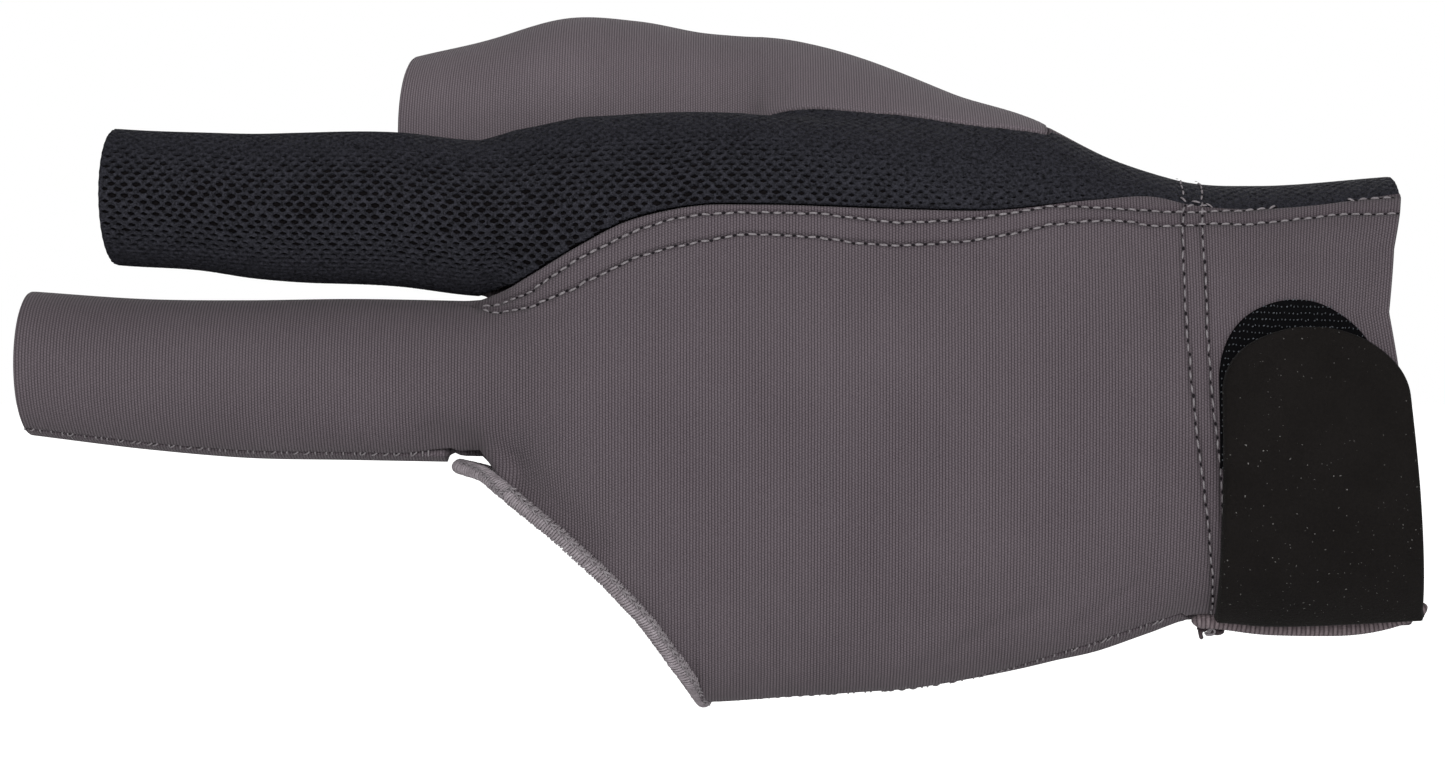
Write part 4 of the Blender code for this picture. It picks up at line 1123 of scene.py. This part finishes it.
def mesh_cells():
    """Staggered six-sided cells of yarn with open holes, finer and nearly closed towards the wrist."""
    random = np.random.default_rng(7)
    x_far, s_low, s_high = float(mesh.x.min()) * 1000, float(mesh.s.min()) * 1000, float(mesh.s.max()) * 1000
    corners = np.array([(1, 1), (0, 2), (-1, 1), (-1, -1), (0, -2), (1, -1)], float)
    corners = corners * (CELL_LENGTH / 2, CELL_POINT)
    corners[1, 1], corners[4, 1] = CELL_ROW - CELL_POINT, CELL_POINT - CELL_ROW
    columns = np.arange(int(x_far / CELL_LENGTH) - 1, 1)
    rows = np.arange(int(s_low / CELL_ROW) - 1, int(s_high / CELL_ROW) + 2)
    c, r = (g.ravel() for g in np.meshgrid(columns, rows, indexing="ij"))
    centre = np.stack([(c + (r % 2) * 0.5) * CELL_LENGTH, r * CELL_ROW], -1)
    order = np.argsort(mesh.x)
    low = np.interp(centre[:, 0] / 1000, mesh.x[order], mesh.s.min(1)[order]) * 1000
    high = np.interp(centre[:, 0] / 1000, mesh.x[order], mesh.s.max(1)[order]) * 1000
    inside = (centre[:, 1] > low - 0.35) & (centre[:, 1] < high + 0.35) & (centre[:, 0] > x_far - 0.6) & (
        centre[:, 0] < 0.6)
    centre, low, high = centre[inside], low[inside], high[inside]
    edge = np.minimum(np.minimum(centre[:, 1] - low, high - centre[:, 1]),
                      np.minimum(-centre[:, 0], centre[:, 0] - x_far))
    towards_wrist = np.clip((centre[:, 0] + 92.0) / 30.0, 0.0, 1.0)
    size = (0.60 - 0.26 * towards_wrist) * (1 + 0.12 * random.standard_normal(len(centre)))
    size = np.where(edge < 0.55, 0.12, size)
    wander = random.standard_normal((len(centre), 2)) * (0.05, 0.03)
    rings = []
    levels = ((1.0, -0.05), (0.5 + 0.5 * size, 0.02), (size, -0.10), (size * 0.9, -HOLE_DEPTH * 1000))
    for scale, lift in levels:
        scale = np.broadcast_to(scale, size.shape)
        place = centre[:, None, :] + corners[None] * scale[:, None, None]
        if lift < -0.05 or lift > 0:
            place = place + wander[:, None, :]
        x = np.clip(place[..., 0], x_far, -0.01)
        s = np.clip(place[..., 1], low[:, None], high[:, None])
        points, directions = surface_at(mesh, mesh_height - mesh.drop * 0.9, x.ravel() / 1000,
                                        s.ravel() / 1000)
        rings.append((points + directions * lift / 1000).reshape(-1, 6, 3))
    points = np.stack(rings, 1)
    batch = Batch()
    count = len(centre)
    base = (np.arange(count) * 24)[:, None]
    faces = []
    for level in range(3):
        for k in range(6):
            a, b = level * 6 + k, level * 6 + (k + 1) % 6
            faces.append(base + np.array([[a, b, b + 6, a + 6]]))
    batch.add(points.reshape(-1, 3), faces)
    return batch.make("mesh_yarn", [YARN])


mesh_yarn_object = mesh_cells()


# Surface of the whole glove, on which threads are laid
def tree_of(*faces):
    points, quads, base = [], [], 0
    for face in faces:
        rows, columns = face.shape[:2]
        points += face.reshape(-1, 3).tolist()
        quads += (quad_grid(rows, columns) + base).tolist()
        base = len(points)
    return BVHTree.FromPolygons(points, quads)


GRAY_FACES = (back.face(back_h), palm_a.face(palm_a_h), palm_b.face(palm_b_h), thumb.face(thumb_h))
GRAYS = tree_of(*GRAY_FACES)
ALL = tree_of(mesh.face(mesh_height), *GRAY_FACES)


def hit(tree, start, way):
    place, normal, _, _ = tree.ray_cast(start, way)
    if place is None:
        return None, None
    normal = np.array(normal)
    return np.array(place), normal if np.dot(normal, way) < 0 else -normal


def even_points(points, pitch):
    """The line at even steps, and its directions; columns after the third go along."""
    length = np.concatenate([[0.0], np.cumsum(np.linalg.norm(np.diff(points[:, :3], axis=0), axis=1))])
    s = np.arange(pitch / 2, length[-1], pitch)

    def at(places):
        return np.stack([np.interp(places, length, points[:, k]) for k in range(points.shape[1])], -1)

    line = at(s)
    ahead = at(s + 0.0002) - at(s - 0.0002)
    return line, ahead / np.maximum(np.linalg.norm(ahead, axis=1, keepdims=True), 1e-9)


def lay_line(tree, line, side, step=0.0006):
    """Line of x and z laid on the back (-1) or palm (1) of the glove."""
    line, _ = even_points(np.array(line), step)
    places = []
    for x, z in line:
        place, normal = hit(tree, (x, side * 0.06, z), (0.0, -side, 0.0))
        if place is not None:
            places.append((place, normal))
    return np.array([p for p, _ in places]), np.array([n for _, n in places])


def sweep(centres, across, up, radii, sides, closed=False):
    """Tube round a line, with capped ends unless it is closed."""
    turn = np.linspace(0.0, 2 * np.pi, sides, endpoint=False)
    ring = (np.cos(turn)[None, :, None] * across[:, None, :] * radii[:, 0][:, None, None]
            + np.sin(turn)[None, :, None] * up[:, None, :] * radii[:, 1][:, None, None])
    points = (centres[:, None, :] + ring).reshape(-1, 3)
    count = len(centres)
    quads = quad_grid(count, sides, False, True)
    if closed:
        last = (count - 1) * sides
        j = np.arange(sides)
        quads = np.concatenate([quads, np.stack([last + j, last + (j + 1) % sides, (j + 1) % sides, j], -1)])
        return points, [quads]
    caps = [np.arange(sides)[None, ::-1], ((count - 1) * sides + np.arange(sides))[None]]
    return points, [quads] + caps


def stitch(batch, place, ahead, up, length, radius, sunk=0.5):
    """One short stitch whose ends dip into the cloth."""
    ahead = ahead - up * np.dot(ahead, up)
    ahead = ahead / np.linalg.norm(ahead)
    across = np.cross(ahead, up)
    t = np.array([-0.5, -0.36, -0.14, 0.14, 0.36, 0.5])
    wide = np.array([0.35, 0.85, 1.0, 1.0, 0.85, 0.35]) * radius
    high = radius * (0.75 - sunk * 5.2 * t ** 2)
    centres = place + ahead * (t * length)[:, None] + up * high[:, None]
    count = len(t)
    points, faces = sweep(centres, np.broadcast_to(across, (count, 3)), np.broadcast_to(up, (count, 3)),
                          np.stack([wide, wide * 0.85], -1), 6)
    batch.add(points, faces)


def pit(batch, place, ahead, up, size):
    """Needle hole as a small flat lens, coloured dark: painted shade of the hole."""
    ahead = ahead - up * np.dot(ahead, up)
    ahead = ahead / np.linalg.norm(ahead)
    across = np.cross(ahead, up)
    turn = np.linspace(0.0, 2 * np.pi, 8, endpoint=False)
    ring = (np.cos(turn)[:, None] * ahead * 0.9 + np.sin(turn)[:, None] * across * 0.62) * size
    ring = place + ring + up * 1e-5
    points = np.concatenate([ring, [place + up * 4e-5]])
    fan = np.array([[k, (k + 1) % 8, 8] for k in range(8)])
    batch.add(points, [fan])


def stitched(name, lines, pitch=STITCH_PITCH, length=STITCH_LENGTH, radius=STITCH_RADIUS, seed=3):
    """Stitches along laid lines, with a dark lens of painted shade at each needle hole."""
    random = np.random.default_rng(seed)
    threads, holes = Batch(), Batch()
    for places, ups in lines:
        line, ahead = even_points(np.concatenate([places, ups], 1), pitch)
        spot, ups_here = line[:, :3], line[:, 3:]
        forward = np.gradient(spot, axis=0)
        forward /= np.linalg.norm(forward, axis=1, keepdims=True)
        for p, f, u in zip(spot, forward, ups_here):
            u = u / np.linalg.norm(u)
            side = np.cross(f, u)
            p = p + side * random.normal(0.0, 0.00005)
            f = f + side * random.normal(0.0, 0.06)
            stitch(threads, p, f, u, length * random.uniform(0.92, 1.06), radius * random.uniform(0.9, 1.1))
            # dark lens of painted shade at the needle hole between stitches
            pit(holes, p + f * pitch / 2, f, u, HOLE_SIZE * random.uniform(0.85, 1.15))
    return threads.make(name, [STITCH]), holes.make(name + "_hole_shade", [NEEDLE_HOLE_SHADE])


def cuff_loop(table, start, stop, count=200):
    """Row of stitches round the cuff, from an angle to another."""
    rows = millimetres(table)
    places, ups = [], []
    for degrees in np.linspace(start, stop, count):
        x = -0.028
        for _ in range(3):
            y, z = (float(v) for v in LIMBS["middle"].at(x)[:2])
            way = np.array([0.0, -math.cos(math.radians(degrees)), math.sin(math.radians(degrees))])
            place, up = hit(ALL, np.array([x, y, z]) + way * 0.06, -way)
            if place is None:
                break
            x = float(np.interp(place[2], rows[:, 0], rows[:, 1]))
        if place is not None:
            places.append(place)
            ups.append(up)
    return np.array(places), np.array(ups)


edge_rows = [lay_line(GRAYS, millimetres(FIRST_ROW), -1), lay_line(GRAYS, millimetres(SECOND_ROW), -1)]
edge_stitches, edge_hole_shade = stitched("edge_stitches", edge_rows)
cuff_rows = [cuff_loop(CUFF_ROW, -80.0, 274.0), cuff_loop(CUFF_EDGE_ROW, -80.0, 274.0)]
cuff_stitches, cuff_hole_shade = stitched("cuff_stitches", cuff_rows, CUFF_PITCH, CUFF_STITCH,
                                      CUFF_RADIUS, 5)


# Overlocked edge of the open side
def even_loop(points, count, closed):
    points = np.array(points)
    if closed:
        points = np.concatenate([points, points[:1]])
    length = np.concatenate([[0.0], np.cumsum(np.linalg.norm(np.diff(points, axis=0), axis=1))])
    s = np.linspace(0.0, length[-1], count + 1 if closed else count)
    line = np.stack([np.interp(s, length, points[:, k]) for k in range(3)], -1)
    return line[:-1] if closed else line


def smoothed(line, times, closed=True):
    for _ in range(times):
        before, after = np.roll(line, 1, 0), np.roll(line, -1, 0)
        if not closed:
            before[0], after[-1] = line[0], line[-1]
        line = (before + 2 * line + after) / 4
    return line


def frames(line, names, closed):
    ahead = np.roll(line, -1, 0) - np.roll(line, 1, 0)
    if not closed:
        ahead[0], ahead[-1] = line[1] - line[0], line[-1] - line[-2]
    ahead /= np.linalg.norm(ahead, axis=1, keepdims=True)
    up = normals(names, line)
    up -= ahead * (up * ahead).sum(1, keepdims=True)
    up /= np.linalg.norm(up, axis=1, keepdims=True)
    return ahead, up, np.cross(up, ahead)


def opening_path():
    line_x, line_z = opening_line(EDGE_BAND / 2)
    end_x = reach_to_x(OPENING_END) + EDGE_BAND / 2
    crotch_y, crotch_z, _, crotch_r, _ = LIMBS["middle"].at(RING_CROTCH_X)
    crotch = np.array([RING_CROTCH_X + EDGE_BAND / 2, crotch_y, crotch_z - crotch_r - EDGE_THICK / 4])
    inner = np.linspace(float(line_x[-3]), float(line_x[1]), 40)
    heights = np.interp(inner, line_x[::-1], line_z[::-1])
    sides = [[point_from_side(limbs_at(x, "middle"), x, z, side) for x, z in zip(inner, heights)]
             for side in (-1, 1)]
    low = point_around("middle", HAND, end_x, -90.0)
    return even_loop([crotch] + sides[0] + [low] + sides[1][::-1], 360, True)


def overlocked():
    line = smoothed(opening_path(), 12)
    _, up, across = frames(line, ("middle", "ring", "body"), True)
    random = np.random.default_rng(11)
    batch = Batch()
    core = np.tile([EDGE_BAND / 2 - 0.0002, EDGE_THICK / 2 - 0.0002], (len(line), 1))
    points, faces = sweep(line, across, up, core, 12, True)
    batch.add(points, faces)
    length = np.linalg.norm(np.roll(line, -1, 0) - line, axis=1)
    total = np.concatenate([[0.0], np.cumsum(length)])
    count = int(total[-1] / WRAP_PITCH)
    turns = np.linspace(0.0, 2 * np.pi, 15, endpoint=False)
    table = np.concatenate([line, up, across], 1)
    table = np.concatenate([table, table[:1]])
    for k in range(count):
        lean = random.normal(0.0, 0.00008)
        s = (k + 0.5) * total[-1] / count + 0.00022 * np.sin(turns + 0.8) + lean * np.cos(turns)
        values = np.stack([np.interp(s % total[-1], total, table[:, i]) for i in range(9)], -1)
        wide = EDGE_BAND / 2 - 0.00012 + random.normal(0.0, 0.00003)
        high = EDGE_THICK / 2 - 0.00014
        out = np.cos(turns)[:, None] * values[:, 6:9] * wide + np.sin(turns)[:, None] * values[:, 3:6] * high
        way = out / np.linalg.norm(out, axis=1, keepdims=True)
        centres = values[:, :3] + out
        ahead = np.roll(centres, -1, 0) - np.roll(centres, 1, 0)
        side = np.cross(way, ahead)
        side /= np.linalg.norm(side, axis=1, keepdims=True)
        radius = WRAP_RADIUS * random.uniform(0.88, 1.1)
        points, faces = sweep(centres, side, way, np.full((len(centres), 2), radius), 5, True)
        batch.add(points, faces)
    return batch.make("overlocked_edge", [OVERLOCK]), line, up, across


overlock_edge, edge_line, edge_up, edge_across = overlocked()


def chain_row():
    """Chain of needle stitches on the inner side of the overlocked edge, on the back and on the palm."""
    batch = Batch()
    for side in (-1, 1):
        place = edge_line + edge_up * (EDGE_THICK / 2 - CHAIN_SUNK)
        middle = edge_line.mean(0)
        inward = edge_across * np.sign(((middle - edge_line) * edge_across).sum(1, keepdims=True)) * -1
        row = place + inward * (EDGE_BAND / 2 - CHAIN_INSET)
        chosen = (edge_line[:, 1] < -0.001) if side < 0 else (edge_line[:, 1] > 0.001)
        index = np.nonzero(chosen)[0]
        points = row[index]
        ups = edge_up[index]
        gaps = np.nonzero(np.linalg.norm(np.diff(points, axis=0), axis=1) > 0.004)[0]
        if len(gaps):
            cut = gaps[0] + 1
            points, ups = np.roll(points, -cut, 0), np.roll(ups, -cut, 0)
        line, _ = even_points(np.concatenate([points, ups], 1), CHAIN_PITCH)
        forward = np.gradient(line[:, :3], axis=0)
        forward /= np.linalg.norm(forward, axis=1, keepdims=True)
        for p, f in zip(line, forward):
            up = p[3:] / np.linalg.norm(p[3:])
            across = np.cross(f, up)
            for lean in (-0.5, 0.5):
                spot, way = p[:3] + across * lean * CHAIN_WIDTH, f + across * lean * 0.7
                stitch(batch, spot, way, up, CHAIN_LENGTH, CHAIN_RADIUS, 0.3)
    return batch.make("edge_chain", [STITCH])


edge_chain = chain_row()


# Rolled edge of the slit, its knot and the cuff's patch
def cuff_patch():
    xs = np.linspace(-CUFF_LENGTH, 0.3 * STRAP_WIDTH, 40)
    s = np.arange(0.0, STRAP_LENGTH + PAD_SHOWS + 0.006, 0.0005)
    points = []
    for x in xs:
        low = point_around("middle", HAND_AND_THUMB, x, SLIT_ANGLE)
        high = point_around("middle", HAND_AND_THUMB, x, PATCH_ANGLE)
        row, _ = fine_row("middle", HAND_AND_THUMB, float(x), low, high, 1, 160, (0.0, 0.0), 0.0, 0.0)
        length = np.concatenate([[0.0], np.cumsum(np.linalg.norm(np.diff(row, axis=0), axis=1))])
        points.append(np.stack([np.interp(s, length, row[:, k]) for k in range(3)], -1))
    points = np.array(points)
    return xs, s, points, normals(HAND_AND_THUMB, points)


PATCH = cuff_patch()


def on_cuff(x, s):
    """Points and outward directions on the cuff's back, up from the slit."""
    xs, ss, points, directions = PATCH
    i = np.clip((x - xs[0]) / (xs[1] - xs[0]), 0, len(xs) - 1.001)
    j = np.clip(s / (ss[1] - ss[0]), 0, len(ss) - 1.001)
    a, b = i.astype(int), j.astype(int)
    u, v = (i - a)[:, None], (j - b)[:, None]
    out = []
    for grid in (points, directions):
        near = grid[a, b] * (1 - u) * (1 - v) + grid[a + 1, b] * u * (1 - v)
        out.append(near + grid[a, b + 1] * (1 - u) * v + grid[a + 1, b + 1] * u * v)
    place, way = lean_at_wrist(out[0]), out[1] * (0.0, 1.0, 1.0)
    return place, way / np.linalg.norm(way, axis=1, keepdims=True)


STRAP_START = ROLL_WIDTH / 2 + SEAM_GAP
RAMP_SHORT = 0.001        # the strap has its full height this far before the pad
STRAP_UP = 0.0020         # the roll shows below the strap by this
STRAP_SLANT = 0.0022      # and by this much more at the wrist's rim
PAD_START = STRAP_START + STRAP_LENGTH + PAD_SHOWS - PAD_LENGTH


def over_pad(s):
    share = np.clip((s - STRAP_START) / (PAD_START - STRAP_START - RAMP_SHORT), 0.0, 1.0)
    return SEAM_GAP + (PAD_THICK + SEAM_GAP) * share


def on_cloth(s):
    return np.full(s.shape, SEAM_GAP)


def tongue_grid(bottom, length, width, inset, end, rows, columns, slant):
    """Grid of places on a round-ended strip: distance along, across, and how far each is from its edge."""
    straight = length - end
    levels = np.concatenate([np.linspace(0.0, straight, rows, endpoint=False),
                             straight + end * np.sin(np.radians(np.linspace(0.0, 88.0, rows // 2)))])
    across = np.sin(np.linspace(-np.pi / 2, np.pi / 2, columns + 1))
    across = 0.35 * across + 0.65 * np.linspace(-1.0, 1.0, columns + 1)
    rise = np.clip((levels - straight) / end, 0.0, 1.0)
    half = width / 2 * np.sqrt(1 - rise ** 2)
    x = -inset + half[:, None] * across
    s = bottom + levels[:, None] + slant * (0.5 + 0.5 * across) * (1 - levels[:, None] / length)
    near_side = (1 - np.abs(across)) * half[:, None]
    near_side = near_side * np.sqrt(1 - 0.75 * rise[:, None] ** 2)
    near = np.minimum(near_side, np.minimum(levels[:, None], (length - levels)[:, None] * 1.2))
    return x, s, near


def tongue(name, bottom, length, width, inset, end, lift, thick_here, look, rows, columns, edge, slant=0.0):
    x, s, near = tongue_grid(bottom, length, width, inset, end, rows, columns, slant)
    place, way = on_cuff(x.ravel(), s.ravel())
    lack = np.clip(edge - near.ravel(), 0.0, edge) / edge
    round_off = 1 - np.sqrt(np.maximum(1 - lack ** 2, 0.0))
    base = lift(s.ravel())
    top = place + way * (base + thick_here - round_off * thick_here * 0.55)[:, None]
    low = place + way * (base + round_off * thick_here * 0.30)[:, None]
    count = x.size
    batch = Batch()
    uv = np.stack([x.ravel(), s.ravel()], -1) * 1000
    grid = quad_grid(*x.shape)
    batch.add(np.concatenate([top, low]), [grid, grid[:, ::-1] + count, rim_quads(*x.shape, count, False)],
              np.concatenate([uv, uv]))
    return batch.make(name, [look])


strap = tongue("strap_suede_tab", STRAP_START + STRAP_UP, STRAP_LENGTH - STRAP_UP, STRAP_WIDTH,
               STRAP_INSET, STRAP_END, over_pad, STRAP_THICK, SUEDE, 90, 60, 0.0007, STRAP_SLANT)
pad = tongue("pad_slab", PAD_START, PAD_LENGTH, PAD_WIDTH, PAD_INSET, PAD_WIDTH / 2, on_cloth,
             PAD_THICK - 0.0005, PAD, 50, 40, 0.0004)


def hooks():
    """Rows of short hooks on the pad, as seen beyond the strap's tip."""
    random = np.random.default_rng(23)
    batch = Batch()
    straight = PAD_LENGTH - PAD_WIDTH / 2
    for level in np.arange(0.0006, PAD_LENGTH - 0.0003, HOOK_ROWS):
        rise = max(0.0, level - straight) / (PAD_WIDTH / 2)
        half = PAD_WIDTH / 2 * math.sqrt(max(0.0, 1 - rise * rise)) - 0.0003
        count = int(2 * half / HOOK_PITCH)
        if count < 2:
            continue
        x = -PAD_INSET + np.linspace(-half, half, count) + random.normal(0.0, 0.00006, count)
        bend = 0.0006 * np.cos((x + PAD_INSET) / PAD_WIDTH * math.pi)
        s = np.clip(PAD_START + level + bend - 0.0004 + random.normal(0.0, 0.00006, count), PAD_START,
                    PAD_START + PAD_LENGTH - 0.0002)
        place, way = on_cuff(x, s)
        place = place + way * (SEAM_GAP + PAD_THICK - HOOK_HEIGHT)
        for p, up in zip(place, way):
            lean = np.array([random.normal(0.0, 0.25), 0.0, 0.0]) + up
            lean /= np.linalg.norm(lean)
            across = np.cross(lean, (1.0, 0.0, 0.0))
            across /= np.linalg.norm(across)
            t = np.array([0.0, 0.35, 0.7, 1.0])
            high = HOOK_HEIGHT * random.uniform(0.7, 1.0)
            centres = p + lean * (t * high)[:, None]
            wide = np.array([0.7, 1.0, 0.9, 0.3])[:, None] * (0.00009, 0.00013)
            points, faces = sweep(centres, np.broadcast_to(np.cross(across, lean), (4, 3)),
                                  np.broadcast_to(across, (4, 3)), wide, 5)
            batch.add(points, faces)
    return batch.make("pad_hooks", [HOOKS])


pad_hooks = hooks()


CURL_START, CURL_RISE = -0.0110, 0.0030     # the roll curls up towards the wrist's rim
ROLL_SHOWS = 0.0000       # how far the roll stands out from under the strap


def slit_roll():
    """Rolled knit edge of the slit, with fine ribs across it."""
    xs = np.linspace(SEAM_GAP - CUFF_LENGTH, STRAP_WIDTH / 2 - STRAP_INSET, 26)
    line = []
    for x in xs:
        base = point_around("middle", HAND_AND_THUMB, x, SLIT_ANGLE)
        line.append(base + normals(HAND_AND_THUMB, base[None])[0] * (ROLL_OUT + ROLL_SHOWS))
    line = lean_at_wrist(np.array(line))
    curl_up = np.clip((xs - CURL_START) / (xs[-1] - CURL_START), 0.0, 1.0)
    line[:, 2] += CURL_RISE * curl_up ** 2.2
    line[:, 1] -= 0.5 * CURL_RISE * curl_up ** 2.2
    line = even_loop(line, 300, False)
    _, up, across = frames(line, HAND_AND_THUMB, False)
    k = np.arange(len(line))
    ends = np.sqrt(np.clip(np.minimum(k, len(line) - 1 - k) / 11.0, 0.02, 1.0))
    rib = 1.0 - 0.035 * (0.5 + 0.5 * np.cos(k * 2 * np.pi * 0.29))
    radius = ROLL_WIDTH / 2 * ends * rib
    points, faces = sweep(line, across, up, np.stack([radius, radius], -1), 20)
    batch = Batch()
    s = k * (CUFF_LENGTH / len(line)) * 1000
    uv = np.stack([np.repeat(s, 20), np.tile(np.arange(20) * 0.4, len(line))], -1)
    batch.add(points, faces, uv)
    return batch.make("slit_roll", [ROLL_GRAY])


slit = slit_roll()


# Threads that close a seam, and the knot at the slit's inner end
KNOT = np.array([-0.0258, -0.0030, -0.0308])
TURNS = np.linspace(0.0, 2 * np.pi, 22, endpoint=False)


def curl(batch, centre, normal, size, radius, twist):
    """One closed loop of thread that stands across a direction."""
    side = np.cross(normal, (0.3, 0.9, 0.2))
    side /= np.linalg.norm(side)
    other = np.cross(normal, side)
    wave = 0.25 * size * np.sin(2 * TURNS + twist)
    line = (centre + np.cos(TURNS)[:, None] * side * size + np.sin(TURNS)[:, None] * other * size * 0.7
            + wave[:, None] * normal)
    ahead = np.roll(line, -1, 0) - np.roll(line, 1, 0)
    ahead /= np.linalg.norm(ahead, axis=1, keepdims=True)
    up = np.broadcast_to(normal, line.shape)
    across = np.cross(ahead, up)
    across /= np.linalg.norm(across, axis=1, keepdims=True)
    points, faces = sweep(line, across, np.cross(across, ahead), np.full((len(line), 2), radius), 7, True)
    batch.add(points, faces)


def slit_knot():
    random = np.random.default_rng(31)
    thick_curls, thin_curls = Batch(), Batch()
    for k in range(16):
        way = random.standard_normal(3)
        way /= np.linalg.norm(way)
        centre = KNOT + random.uniform(-1.0, 1.0, 3) * (0.0011, 0.0009, 0.0010)
        batch, radius = (thick_curls, 0.00030) if k % 4 else (thin_curls, 0.00016)
        curl(batch, centre, way, random.uniform(0.0006, 0.0010), radius, random.uniform(0.0, 6.0))
    return thick_curls.make("slit_knot", [ROLL_GRAY]), thin_curls.make("slit_knot_thread", [STITCH])


def seam_threads():
    """Short threads across the seam between back and palm, along the finger and the hand."""
    random = np.random.default_rng(37)
    back_side, palm_side = back.face(back_h - back.drop), palm_a.face(palm_a_h - palm_a.drop)
    batch = Batch()
    x = -0.0315
    while x > float(back.x[-1]) + 0.001:
        x -= random.uniform(0.0009, 0.0015)
        if RING_CROTCH_X - 0.001 < x < OPENING_X + 0.001:
            continue
        i = int(np.argmin(np.abs(back.x - x)))
        k = min(len(back.x) - 1, i + int(random.integers(0, 2)))
        a, b = back_side[i, -3], palm_side[k, 2]
        up = back.normals[i, -1] + palm_a.normals[k, 0]
        up /= np.linalg.norm(up)
        share = np.array([0.0, 0.2, 0.5, 0.8, 1.0])[:, None]
        line = a * (1 - share) + b * share + up * 0.00012 * np.sin(np.pi * share)
        across = np.cross(b - a, up)
        across /= np.linalg.norm(across)
        points, faces = sweep(line, np.broadcast_to(across, line.shape), np.broadcast_to(up, line.shape),
                              np.full((5, 2), 0.00012), 6)
        batch.add(points, faces)
    return batch.make("seam_threads", [STITCH])


knot, knot_thread = slit_knot()
side_threads = seam_threads()

# Ride and replace
def shown(obj, slot, *nodes):
    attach(obj, "root")
    if nodes:
        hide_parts(*nodes)


shown(back_cloth, "gray_knit", "back_panel")
shown(palm_cloth, "gray_knit", "palm_panel")
shown(thumb_cloth, "thumb_knit", "thumb_panel")
shown(mesh_cloth, "air_mesh", "mesh_panel")
shown(mesh_yarn_object, "air_mesh", "mesh_panel")
for made in (edge_stitches, edge_hole_shade, cuff_stitches, cuff_hole_shade, edge_chain, knot_thread, side_threads):
    shown(made, "edge_thread")
shown(overlock_edge, "edge_thread", "opening_edge")
shown(slit, "thumb_knit", "slit_edge")
shown(knot, "thumb_knit")
shown(strap, "strap_suede", "strap_tab")
shown(pad, "hook_loop", "hook_pad")
shown(pad_hooks, "hook_loop", "hook_pad")


def flat_size(*panels):
    """Width, length and area of the flat cut, a little smaller than the stretched cloth."""
    area, width, length = 0.0, 0.0, 0.0
    for panel in panels:
        steps = np.linalg.norm(np.diff(panel.points, axis=1), axis=-1).sum(1)
        run = np.abs(np.diff(panel.x))
        area += float(((steps[1:] + steps[:-1]) / 2 * run).sum())
        width += float(steps.max())
        length = max(length, float(np.ptp(panel.x)))
    return width / STRETCH, length / STRETCH, area / STRETCH ** 2


STRETCH = 1.06            # how far the worn knit is stretched each way
for made, panels, pieces in (
    (back_cloth, (back,), (edge_stitches, edge_hole_shade)),
    (palm_cloth, (palm_a, palm_b), ()),
    (thumb_cloth, (thumb,), ()),
    (mesh_cloth, (mesh,), (mesh_yarn_object,)),
):
    width, length, area = flat_size(*panels)
    print("flat", made.name, round(width, 4), round(length, 4), round(area, 6))

# Floor, light and camera
floor_mesh = bpy.data.meshes.new("floor")
FLOOR = 30.0
WORLD_LIGHT = 0.28
FLOOR_Z = -0.16
floor_mesh.from_pydata([(-FLOOR, -FLOOR, FLOOR_Z), (FLOOR, -FLOOR, FLOOR_Z), (FLOOR, FLOOR, FLOOR_Z),
                        (-FLOOR, FLOOR, FLOOR_Z)], [], [(0, 1, 2, 3)])
floor = bpy.data.objects.new("floor", floor_mesh)
bpy.context.scene.collection.objects.link(floor)
pale = bpy.data.materials.new("pale_floor")
pale.use_nodes = True
floor_shader = pale.node_tree.nodes["Principled BSDF"]
floor_shader.inputs["Base Color"].default_value = (0.93, 0.93, 0.93, 1.0)
floor_shader.inputs["Roughness"].default_value = 0.9
floor_shader.inputs["Specular IOR Level"].default_value = 0.1
floor_shader.inputs["Emission Color"].default_value = (1.0, 1.0, 1.0, 1.0)
floor_path = pale.node_tree.nodes.new("ShaderNodeLightPath")
pale.node_tree.links.new(floor_path.outputs["Is Camera Ray"], floor_shader.inputs["Emission Strength"])
floor_mesh.materials.append(pale)
floor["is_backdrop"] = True

world = bpy.data.worlds.new("studio")
bpy.context.scene.world = world
world.use_nodes = True
seen = world.node_tree.nodes.new("ShaderNodeLightPath")
strength = world.node_tree.nodes.new("ShaderNodeMapRange")
strength.inputs["To Min"].default_value = WORLD_LIGHT
strength.inputs["To Max"].default_value = 1.0
world.node_tree.links.new(seen.outputs["Is Camera Ray"], strength.inputs["Value"])
background = world.node_tree.nodes["Background"]
background.inputs["Color"].default_value = (1.0, 1.0, 1.0, 1.0)
world.node_tree.links.new(strength.outputs[0], background.inputs["Strength"])


def area_light(name, place, target, size, power, colour=(1.0, 1.0, 1.0)):
    data = bpy.data.lights.new(name, "AREA")
    data.size = size
    data.energy = power
    data.color = colour
    made = bpy.data.objects.new(name, data)
    made.location = place
    direction = np.array(target) - np.array(place)
    made.rotation_euler = Vector(direction).to_track_quat("-Z", "Y").to_euler()
    bpy.context.scene.collection.objects.link(made)


MIDDLE = (-0.095, 0.0, 0.0)
area_light("key", (-0.20, -1.0, 0.35), MIDDLE, 0.8, 16.0)
area_light("fill", (0.45, -0.7, 0.1), MIDDLE, 0.6, 2.0)
area_light("far side", (0.1, 0.9, 0.6), MIDDLE, 0.9, 9.0)

camera_data = bpy.data.cameras.new("camera")
camera_data.sensor_width = 36.0
camera_data.lens = 36.0 * 0.6 / 0.2043
camera_data.clip_start = 0.01
camera_data.clip_end = 100.0
camera = bpy.data.objects.new("camera", camera_data)
camera.location = (-0.09438, -0.6, 0.00332)
camera.rotation_euler = (math.radians(90.0), 0.0, 0.0)
bpy.context.scene.collection.objects.link(camera)
bpy.context.scene.camera = camera
bpy.context.scene.view_settings.view_transform = "Standard"

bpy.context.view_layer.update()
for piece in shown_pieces():
    piece.data.calc_loop_triangles()
    print("piece", piece.name, len(piece.data.loop_triangles))
